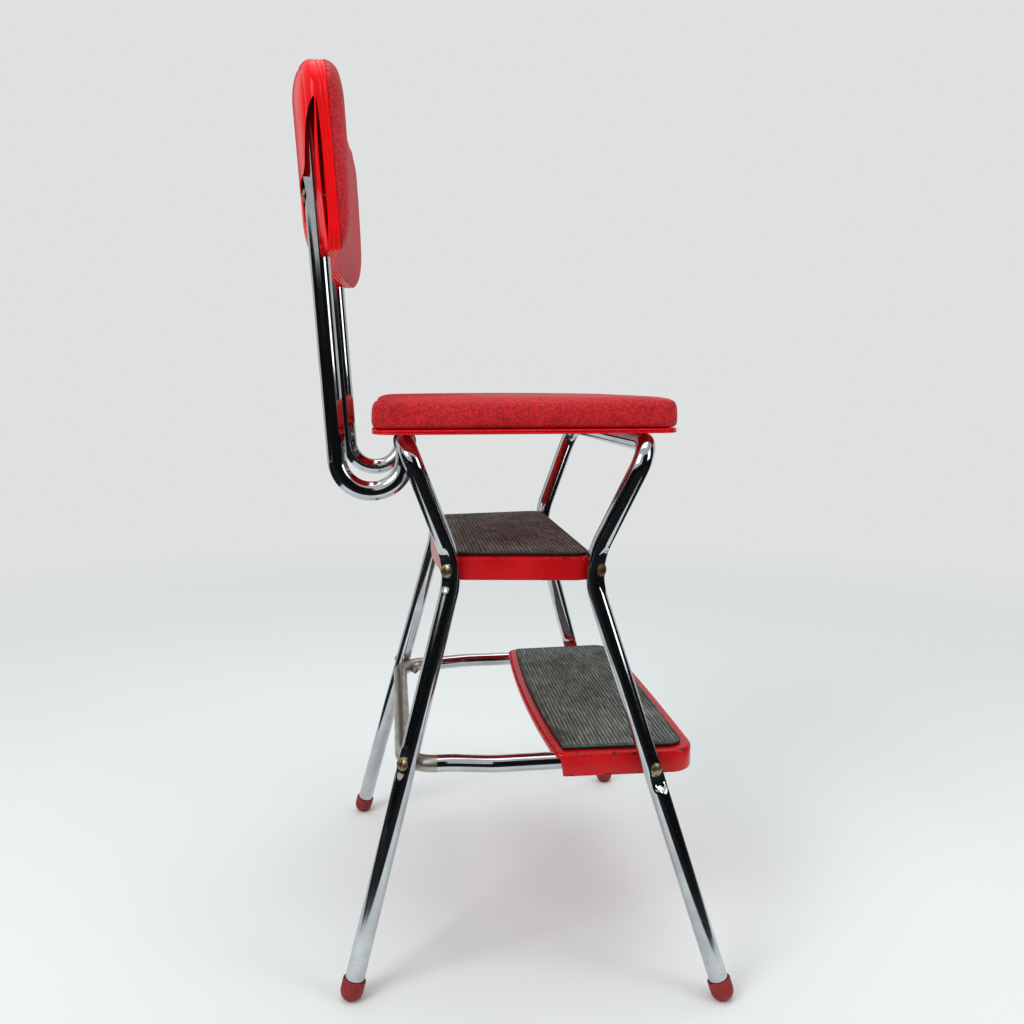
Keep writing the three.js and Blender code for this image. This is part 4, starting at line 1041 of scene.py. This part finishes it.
upper_depth = pressed_radius + gap + sheet_steel + nut_tuck(upper_corner - sheet_steel) + gap
rail_depth = rail_to_leg + rail_radius + nut_tuck(rail_corner_bend - rail_radius) + gap
front_depth = ((screw_places["lower", "front"][0][0] - rail_arm_x + rail_radius)
               / math.cos(front_slant) + nut_half_width * math.tan(front_slant) + gap)
# Each screw's step and leg, the depth of its nut, its slot's angle and its finish.
for step, end, depth, slot_turn, finish in (
    ("upper", "rear", upper_depth, 90, tarnished_brass),
    ("upper", "front", upper_depth, 20, rusty_brass),
    ("lower", "rear", rail_depth, 80, tarnished_brass),
    ("lower", "front", front_depth, 135, tarnished_brass),
):
    middle, out = screw_places[step, end]
    length = depth + shank_end + pressed_radius + gap
    angle = math.radians(slot_turn)
    for side_name, turn in SIDES:
        outward = out * turn
        level = unit(np.cross([0, 0, 1], outward))
        slot_along = level * math.cos(angle) + np.cross(outward, level) * math.sin(angle)
        head = middle * turn + outward * (pressed_radius + gap)
        screw = slotted_screw(f"{step}_{end}_{side_name}_screw", head, outward, length, slot_along)
        finish_piece(screw, finish, FRAME_BODY, f"{step}_step_screw_{end}_{side_name}")
back_screw_length = pressed_radius + gap + tube_radius + gap + sheet_steel + back_shank_end
for side_name, turn in SIDES:
    head = back_screw_middle * turn + backward * (pressed_radius + gap)
    screw = slotted_screw(f"back_{side_name}_screw", head, backward, back_screw_length,
                          unit([1.0, 0, 0.35]))
    finish_piece(screw, tarnished_brass, FRAME_BODY, f"back_screw_{side_name}")

# %% [markdown]
# The back is two pressed shells, a domed cover behind and a flat pan in front with a rolled
# rim. They meet in a thin slit that is widest halfway up. A crease runs round the cover a little
# inside its edge, and its sides are cut open for the uprights.

# %% Shells of the back
back_outline = panel_outline(
    back_half, back_half, back_bottom, back_shoulder, 20 * MM, 45 * MM,
    [0, 0, 23.5 * MM, 0])
cover_round = 42 * MM
crease_place, crease_depth, crease_width = 9 * MM, 0.9 * MM, 1.6 * MM
slit_low, slit_high = 762 * MM, 893 * MM


def slit_offset(z):
    """0.06 mm + 2.2 mm (1 - t^2), t from -1 to 1 up the slit."""
    middle = (slit_low + slit_high) / 2
    share = 1 - ((z - middle) / (slit_high - middle)) ** 2
    return 0.06 * MM + 2.2 * MM * np.maximum(share, 0)


def cover_offset(x, z):
    """20 mm in the middle and 17 mm at 150 mm out, but 5.5 mm beside and outside the tubes.

    The low part beside the tubes rises to the full depth from 802 mm to 822 mm up.
    """
    full = 20 * MM - 3 * MM * np.minimum(np.abs(x) / (150 * MM), 1) ** 4
    inside = 1 - smooth_step(np.abs(x), 100 * MM, 133 * MM)
    above = smooth_step(z, 802 * MM, 822 * MM)
    return -(5.5 * MM + (full - 5.5 * MM) * np.maximum(inside, above))


def dome_rings(round_by, start, face, inset=0.0, lift=0.0, steps=40):
    """Rings from the edge to the face, for a from 0 to 90 degrees.

    They lie at start + (face - start) sin a and are drawn in by round_by (1 - cos a).
    """
    return [ring(back_outline,
                 lambda x, z, a=angle: start(x, z) + (face(x, z) - start(x, z)) * math.sin(a),
                 inset=inset, draw=round_by * (1 - math.cos(angle)),
                 lift=lift * (1 - math.cos(angle)))
            for angle in np.linspace(0, np.pi / 2, steps)]


def face_rings(height, draw=40 * MM, lift=0.0, shares=(0.9, 0.75, 0.6, 0.45, 0.3, 0.15)):
    return [ring(back_outline, height, draw=draw, lift=lift, shrink=share) for share in shares]


def creased(rings, round_by):
    """Sinks the rings near the crease by depth exp(-((draw - place) / width)^2)."""
    draws = round_by * (1 - np.cos(np.linspace(0, np.pi / 2, len(rings))))
    sink = crease_depth * np.exp(-((draws - crease_place) / crease_width) ** 2)
    return [points + [0, 0, depth] for points, depth in zip(rings, sink)]


def cover_edge(x, z):
    return -slit_offset(z)


def cover_inner(x, z):
    return cover_offset(x, z) + cover_skin


cover_skin = 1.2 * MM
cover_face = {"draw": cover_round, "shares": np.linspace(0.98, 0.04, 40)}
cover_outside = creased(dome_rings(cover_round, cover_edge, cover_offset), cover_round)
cover_inside = dome_rings(cover_round - cover_skin, cover_edge, cover_inner, inset=cover_skin,
                          steps=16)
cover = make_mesh("back_cover_domed", *stacked_rings(on_back(
    face_rings(cover_offset, **cover_face)[::-1] + cover_outside[::-1]
    + cover_inside + face_rings(cover_inner, **cover_face))))
# Where the uprights slip in, the cover is cut open on both sides along a closed curve, whose
# points are (depth behind the sheet, height) in millimetres.
way = np.array([
    (5.5, 792), (5.5, 837), (4.6, 855), (3.2, 872), (2.0, 887), (1.8, 893), (5.0, 889.5),
    (7.8, 883), (10.2, 874), (12.2, 861), (13.6, 847), (14.6, 835), (16.0, 829), (32, 825),
    (32, 792)]) * MM
way_inner, way_outer = 106 * MM, 200 * MM
for side in (1, -1):
    rings = [on_back(np.column_stack([np.full(len(way), side * x), way[:, 1], -way[:, 0]]))
             for x in np.linspace(way_inner, way_outer, 14)]
    cutter = make_mesh("way_cutter", *stacked_rings(rings[::-side]))
    cut_away(cover, cutter, solver="MANIFOLD")
finish_piece(cover, back_enamel, FRAME_BODY, "back_cover")

rim_depth, rim_roll = 11.5 * MM, 0.9 * MM
# Two grooves run along the rim and draw thin lines of light: 0.8 mm exp(-((t - place) / 0.07)^2).
pan_outside = [
    ring(back_outline,
         lambda x, z, t=share: slit_offset(z) + (rim_depth - rim_roll - slit_offset(z)) * t,
         inset=sum(0.8 * MM * math.exp(-((share - place) / 0.07) ** 2) for place in (0.36, 0.76)))
    for share in np.linspace(0, 1, 44)]
pan_outside += [ring(back_outline, rim_depth - rim_roll + rim_roll * math.sin(angle),
                     inset=rim_roll * (1 - math.cos(angle)))
                for angle in np.linspace(0, np.pi, 11)[1:]]
pan_outside.append(ring(back_outline, back_pan_depth, inset=2 * rim_roll))
pan_inside = dome_rings(0.5 * MM, lambda x, z: slit_offset(z),
                        lambda x, z: np.full_like(x, back_pan_depth - sheet_steel),
                        inset=sheet_steel, steps=5)
back_pan = make_mesh("back_pan_pressed", *stacked_rings(on_back(
    face_rings(back_pan_depth - sheet_steel, draw=8 * MM)[::-1] + pan_inside[::-1]
    + pan_outside + face_rings(back_pan_depth, draw=8 * MM))))
finish_piece(back_pan, back_enamel, FRAME_BODY, "back_pan")
# Along the top the vinyl is wrapped over the rim as far as the cover's crease.
for piece, edge in ((cover, 951.5 * MM), (back_pan, 948 * MM)):
    dress_part(piece, pad_vinyl, lambda middles: middles[:, 2] > edge)

# %% [markdown]
# The cushions are foam and padding under tight vinyl. Each starts as a slightly small form and
# is blown up by a cloth simulation with its bottom held, so its faces swell and its sides pull
# in between the corners as a sewn cover does. A cap keeps it near its CAD shape.

# %% Helpers for the cushions
cloth_frames = 20
cloth_settings = {
    "quality": 4, "mass": 0.3, "tension_stiffness": 40, "compression_stiffness": 40,
    "bending_stiffness": 4, "use_pressure": True, "vertex_group_mass": "held",
}


def swell(piece, held, pressure, cap, voxel=5 * MM):
    """Remeshes a form and inflates it as cloth with the held points pinned.

    A move of length d becomes cap tanh(d / cap), so small moves stay and large ones level off.
    """
    bpy.context.view_layer.objects.active = piece
    remesh = piece.modifiers.new("remesh", "REMESH")
    remesh.mode, remesh.voxel_size, remesh.use_smooth_shade = "VOXEL", voxel, True
    piece.data = with_modifiers(piece)
    start = mesh_points(piece.data)
    group = piece.vertex_groups.new(name="held")
    group.add(np.flatnonzero(held(start)).tolist(), 1.0, "REPLACE")
    cloth = piece.modifiers.new("cloth", "CLOTH")
    for key, value in cloth_settings.items():
        setattr(cloth.settings, key, value)
    cloth.settings.uniform_pressure_force = pressure
    cloth.settings.effector_weights.gravity = 0
    cloth.point_cache.frame_start, cloth.point_cache.frame_end = 1, cloth_frames
    scene = bpy.context.scene
    for step in range(1, cloth_frames + 1):
        scene.frame_set(step)
    move = mesh_points(with_modifiers(piece)) - start
    length = np.linalg.norm(move, axis=1, keepdims=True)
    eased = move * (cap * np.tanh(length / cap) / np.maximum(length, 1e-9))
    set_points(piece, start + eased)
    piece.vertex_groups.clear()
    scene.frame_set(1)
    print(piece.name, "points:", len(start), "median move mm:",
          round(float(np.median(length)) / MM, 2))


def subdivided(piece):
    finer = piece.modifiers.new("finer", "SUBSURF")
    finer.levels = finer.render_levels = 1
    piece.data = with_modifiers(piece)
    piece.data.shade_smooth()


def fitted(points, low, high):
    """Stretches points so that their box is the one given."""
    low, high = np.asarray(low, float), np.asarray(high, float)
    mine_low, mine_high = points.min(0), points.max(0)
    return low + (points - mine_low) * (high - low) / (mine_high - mine_low)


# %% [markdown]
# The seat cushion is a flat box cushion: upright sides, a tight round edge and a low crown. It
# stands on the pan, where its vinyl is folded under, and puckers a little above the seam.

# %% Seat cushion
seat_floor = 585.3 * MM
seat_top = 619 * MM
seat_crown = 2.5 * MM
seat_edge_round = 9.5 * MM
seat_side_top = 600 * MM
seat_middle_y = (seat_front + seat_rear) / 2
seat_half_depth = (seat_rear - seat_front) / 2
cushion_outline = seat_shape(2 * MM)


def crown_height(x, y):
    """shoulder + crown (1 - (x / half)^2) (1 - (y / half)^2)"""
    across = 1 - (x / seat_half) ** 2
    along = 1 - ((y - seat_middle_y) / seat_half_depth) ** 2
    return seat_top - seat_crown + seat_crown * across * along


def cushion_rings(smaller):
    """The cushion's rings from its folded edge on the pan to the middle of its crown."""
    sides = [(20 * MM, seat_floor), (2 * MM, seat_floor), (0, seat_floor + 4 * MM)]
    sides += [(0, level) for level in np.linspace(seat_floor + 9 * MM, seat_side_top, 3)]
    return (
        [ring(cushion_outline, level, inset=inset + smaller) for inset, level in sides]
        + quarter_rings(cushion_outline, smaller, seat_edge_round,
                        seat_top - seat_crown - smaller, steps=9)
        + [ring(cushion_outline, lambda x, y: crown_height(x, y) - smaller,
                inset=seat_edge_round + smaller, shrink=share)
           for share in (0.85, 0.7, 0.55, 0.4, 0.25, 0.1)])


def seam_puckers(points, low, seed):
    """Moves in and out along the outline by six waves of 11 to 40 mm.

    They are 0.9 mm exp(-(t - 0.7)^2) strong, for t = height above the seam / 9 mm.
    """
    draw = np.random.default_rng(seed).uniform
    out = points[:, :2] - points.mean(0)[:2]
    along = np.arctan2(out[:, 1], out[:, 0]) * seat_half
    wave = sum(draw(0.5, 1) * np.sin(2 * np.pi * along / draw(11, 40) / MM + draw(0, 6.28))
               for _ in range(6)) / 6
    rise = (points[:, 2] - low) / (9 * MM)
    strength = np.exp(-((rise - 0.7) ** 2)) * 0.9 * MM
    return points + np.column_stack([unit(out) * (wave * strength)[:, None], 0 * wave])


seat_smaller = 1.2 * MM
cushion = make_mesh("seat_cushion_padded", *stacked_rings(cushion_rings(seat_smaller)))
swell(cushion, lambda points: points[:, 2] < seat_floor + 3 * MM, pressure=1.6, cap=1.8 * MM,
      voxel=4 * MM)
subdivided(cushion)
cushion_points = seam_puckers(
    fitted(mesh_points(cushion.data), [-seat_half, seat_front, seat_floor],
           [seat_half, seat_rear, seat_top]),
    seat_floor, seed=7)
cushion_points[:, 0] = np.clip(cushion_points[:, 0], -seat_half, seat_half)
set_points(cushion, cushion_points)
finish_piece(cushion, seat_vinyl, SEAT_BODY, "seat_cushion")

# %% [markdown]
# The back's pad follows the curved pan. Its sides are rounded and lean in, its lower edge most
# of all, and its face is slightly hollow from side to side to hold the sitter's back.

# %% Pad of the back
pad_floor = back_pan_depth + 0.6 * MM
pad_round, pad_lift, pad_edge = 27 * MM, 13 * MM, 2 * MM


def pad_offset(x, z):
    """26.5 mm low and 29.5 mm high, less 3 mm (1 - (x / half)^2)"""
    share = (z - back_bottom) / (back_shoulder - back_bottom)
    return 26.5 * MM + 3 * MM * share - 3 * MM * across_share(x)


def pad_rings(smaller):
    """The pad's rings from its flat back to the middle of its face."""
    def face(x, z):
        return pad_offset(x, z) - smaller

    return (
        [ring(back_outline, pad_floor, inset=30 * MM),
         ring(back_outline, pad_floor, inset=pad_edge + smaller)]
        + dome_rings(pad_round, lambda x, z: np.full_like(x, pad_floor + pad_edge), face,
                     inset=smaller, lift=pad_lift, steps=24)
        + face_rings(face, lift=pad_lift))


def tucked(points, outline, limit, inset, blend=2.5 * MM):
    """Moves points of a cushion in from the outline where they lie less deep than a limit.

    The nearest outline point and its normal give how far in a point is. What is missing from
    the inset is made up, and this fades out over blend past the limit.
    """
    flat = points[:, [0, 2]]
    share = 1 - smooth_step(depth_in(points), limit, limit + blend)
    moved = points.copy()
    for part in np.array_split(np.flatnonzero(share > 0), 40):
        offset = flat[part][:, None] - outline[0][None]
        nearest = (offset ** 2).sum(-1).argmin(1)
        normal = outline[1][nearest]
        inside = -(offset[np.arange(len(part)), nearest] * normal).sum(1)
        missing = np.maximum(inset - inside, 0) * share[part]
        moved[part, 0] -= normal[:, 0] * missing
        moved[part, 2] -= normal[:, 1] * missing
    return moved


pad_smaller = 1.5 * MM
pad = make_mesh("back_pad_padded", *stacked_rings(on_back(pad_rings(pad_smaller))))
swell(pad, lambda points: depth_in(points) < pad_floor + 3 * MM, pressure=2.5, cap=2.5 * MM)
subdivided(pad)
set_points(pad, fitted(mesh_points(pad.data), *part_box("back_pad")))
set_points(pad, tucked(mesh_points(pad.data), back_outline, 10.5 * MM, 2.4 * MM))
finish_piece(pad, pad_vinyl, FRAME_BODY, "back_pad")

# %% [markdown]
# The small hidden pieces keep their CAD shapes and get their real finishes: zinc-plated clips,
# nuts and hinge screws, rubber bumpers and plywood boards.

# %% Finishes of the carried-over pieces
for node, cad_piece in frame["nodes"].items():
    for word, finish in (("nut", zinc_steel), ("clip", zinc_steel), ("hinge_screw", zinc_steel),
                         ("bumper", bumper_rubber), ("board", board_wood)):
        if word in node:
            dress(cad_piece, finish)

# %% [markdown]
# The stage is a pale floor that thins out into the sky behind the chair, lit by large soft lamps.
# Chrome shows what stands round it, so dark boards that only mirrors see give it black bands.

# %% Helpers for the stage
def plain_shader(tree, colour):
    """A matt surface of one colour."""
    return add(tree, "ShaderNodeBsdfPrincipled", Base_Color=linear(colour), Roughness=0.9,
               Specular_IOR_Level=0.1)


def level_board(name, x_low, x_high, y_low, y_high, z):
    return make_mesh(name, [(x_low, y_low, z), (x_high, y_low, z), (x_high, y_high, z),
                            (x_low, y_high, z)], [np.array([[0, 1, 2, 3]])])


def upright_board(name, middle, width, height, facing):
    across = unit(np.cross([0.0, 0.0, 1.0], facing))
    corners = [middle + across * sx * width / 2 + np.array([0, 0, sz * height / 2])
               for sx, sz in ((-1, -1), (1, -1), (1, 1), (-1, 1))]
    return make_mesh(name, corners, [np.array([[0, 1, 2, 3]])])


def soft_lamp(name, place, target, size, power):
    """A rectangular area lamp at a place, aimed at a target."""
    light = bpy.data.lights.new(name, "AREA")
    light.shape, light.size, light.size_y = "RECTANGLE", size[0], size[1]
    light.energy = power
    lamp = bpy.data.objects.new(name, light)
    bpy.context.scene.collection.objects.link(lamp)
    lamp.location = place
    lamp.rotation_euler = (Vector(target) - Vector(place)).to_track_quat("-Z", "Y").to_euler()
    return lamp


# %% Floor
floor = level_board("floor", -4.0, 4.0, -4.0, 4.0, 0.0)
floor_paint, tree, place = new_material("stage_floor")
# The floor thins out from 0.7 m to 2.6 m away, so that no horizon shows behind the chair.
away = add(tree, "ShaderNodeVectorMath", {"operation": "LENGTH"}, _0=place).outputs["Value"]
thin = add(tree, "ShaderNodeMapRange", {"interpolation_type": "SMOOTHSTEP"}, Value=away,
           From_Min=0.7, From_Max=2.6)
clear = add(tree, "ShaderNodeBsdfTransparent")
surface = add(tree, "ShaderNodeMixShader", _0=thin, _1=plain_shader(tree, "#F3FAFA"), _2=clear)
add(tree, "ShaderNodeOutputMaterial", Surface=surface)
dress(floor, floor_paint)

# %% Dark boards for the chrome
boards = [upright_board(f"flag_{name}", *board) for name, *board in (
    ("behind_camera", (-3.0, -1.55, 1.5), 3.7, 3.0, [1, 0, 0]),
    ("beside_camera", (-3.0, 1.95, 0.55), 3.3, 1.1, [1, 0, 0]),
    ("front", (-1.2, -3.4, 1.4), 4.2, 2.8, [0, 1, 0]),
    ("back", (-1.2, 3.6, 0.6), 4.2, 1.2, [0, -1, 0]),
    ("far", (3.0, 0.5, 1.6), 1.4, 2.4, [-1, 0, 0]),
)]
boards += [level_board(f"flag_floor_{name}", *edges, 0.004) for name, *edges in (
    ("near", -3.6, -0.62, -3.4, 3.4),
    ("back", -0.62, 0.9, 0.7, 3.4),
    ("front", -0.62, 0.9, -3.4, -0.7),
)]
board_black, tree, place = new_material("board_black")
add(tree, "ShaderNodeOutputMaterial", Surface=plain_shader(tree, "#141517"))
for board in boards:
    dress(board, board_black)
    board.visible_camera = board.visible_diffuse = board.visible_shadow = False
    board.visible_transmission = False

# %% Lamps and sky
lamps = [
    soft_lamp("key", (-1.5, 2.0, 2.3), (0, 0, 0.5), (1.4, 1.4), 36),
    soft_lamp("fill", (-1.5, -2.1, 1.5), (0, 0, 0.5), (1.0, 1.4), 13),
    soft_lamp("top", (0.2, -0.1, 2.9), (0, 0, 0.4), (2.2, 2.2), 26),
]
world = bpy.data.worlds.new("pale_sky")
bpy.context.scene.world = world
world.use_nodes = True
sky = world.node_tree
sky.nodes.clear()
ray = add(sky, "ShaderNodeLightPath").outputs
# In mirrors the sky is a little darker, as a room is behind a photographer.
seen = add(sky, "ShaderNodeMath", {"operation": "MULTIPLY_ADD"}, _0=ray["Is Glossy Ray"],
           _1=0.62, _2=ray["Is Camera Ray"])
seen = add(sky, "ShaderNodeMath", {"operation": "ADD"}, _0=seen, _1=ray["Is Transmission Ray"])
lighting = add(sky, "ShaderNodeBackground", Color=linear("#FFFFFF"), Strength=0.45)
pale = add(sky, "ShaderNodeBackground", Color=linear("#DFE1E1"), Strength=1.0)
mixed = add(sky, "ShaderNodeMixShader", _0=seen, _1=lighting, _2=pale)
add(sky, "ShaderNodeOutputWorld", Surface=mixed)

# %% Camera where the photographer stood
lens = bpy.data.cameras.new("camera")
lens.sensor_width, lens.lens = 36.0, 31.64
camera = bpy.data.objects.new("camera", lens)
bpy.context.scene.collection.objects.link(camera)
eye = Vector((-1.0771, 0.1389 + shift_y, 0.6287))
looking = Vector((0.9814, -0.1318, -0.1399)).normalized()
right = looking.cross(Vector((0, 0, 1))).normalized()
upward = right.cross(looking)
turned_to = Matrix((right, upward, -looking)).transposed()
camera.matrix_world = Matrix.Translation(eye) @ turned_to.to_4x4()
bpy.context.scene.camera = camera
bpy.context.scene.view_settings.view_transform = "Standard"
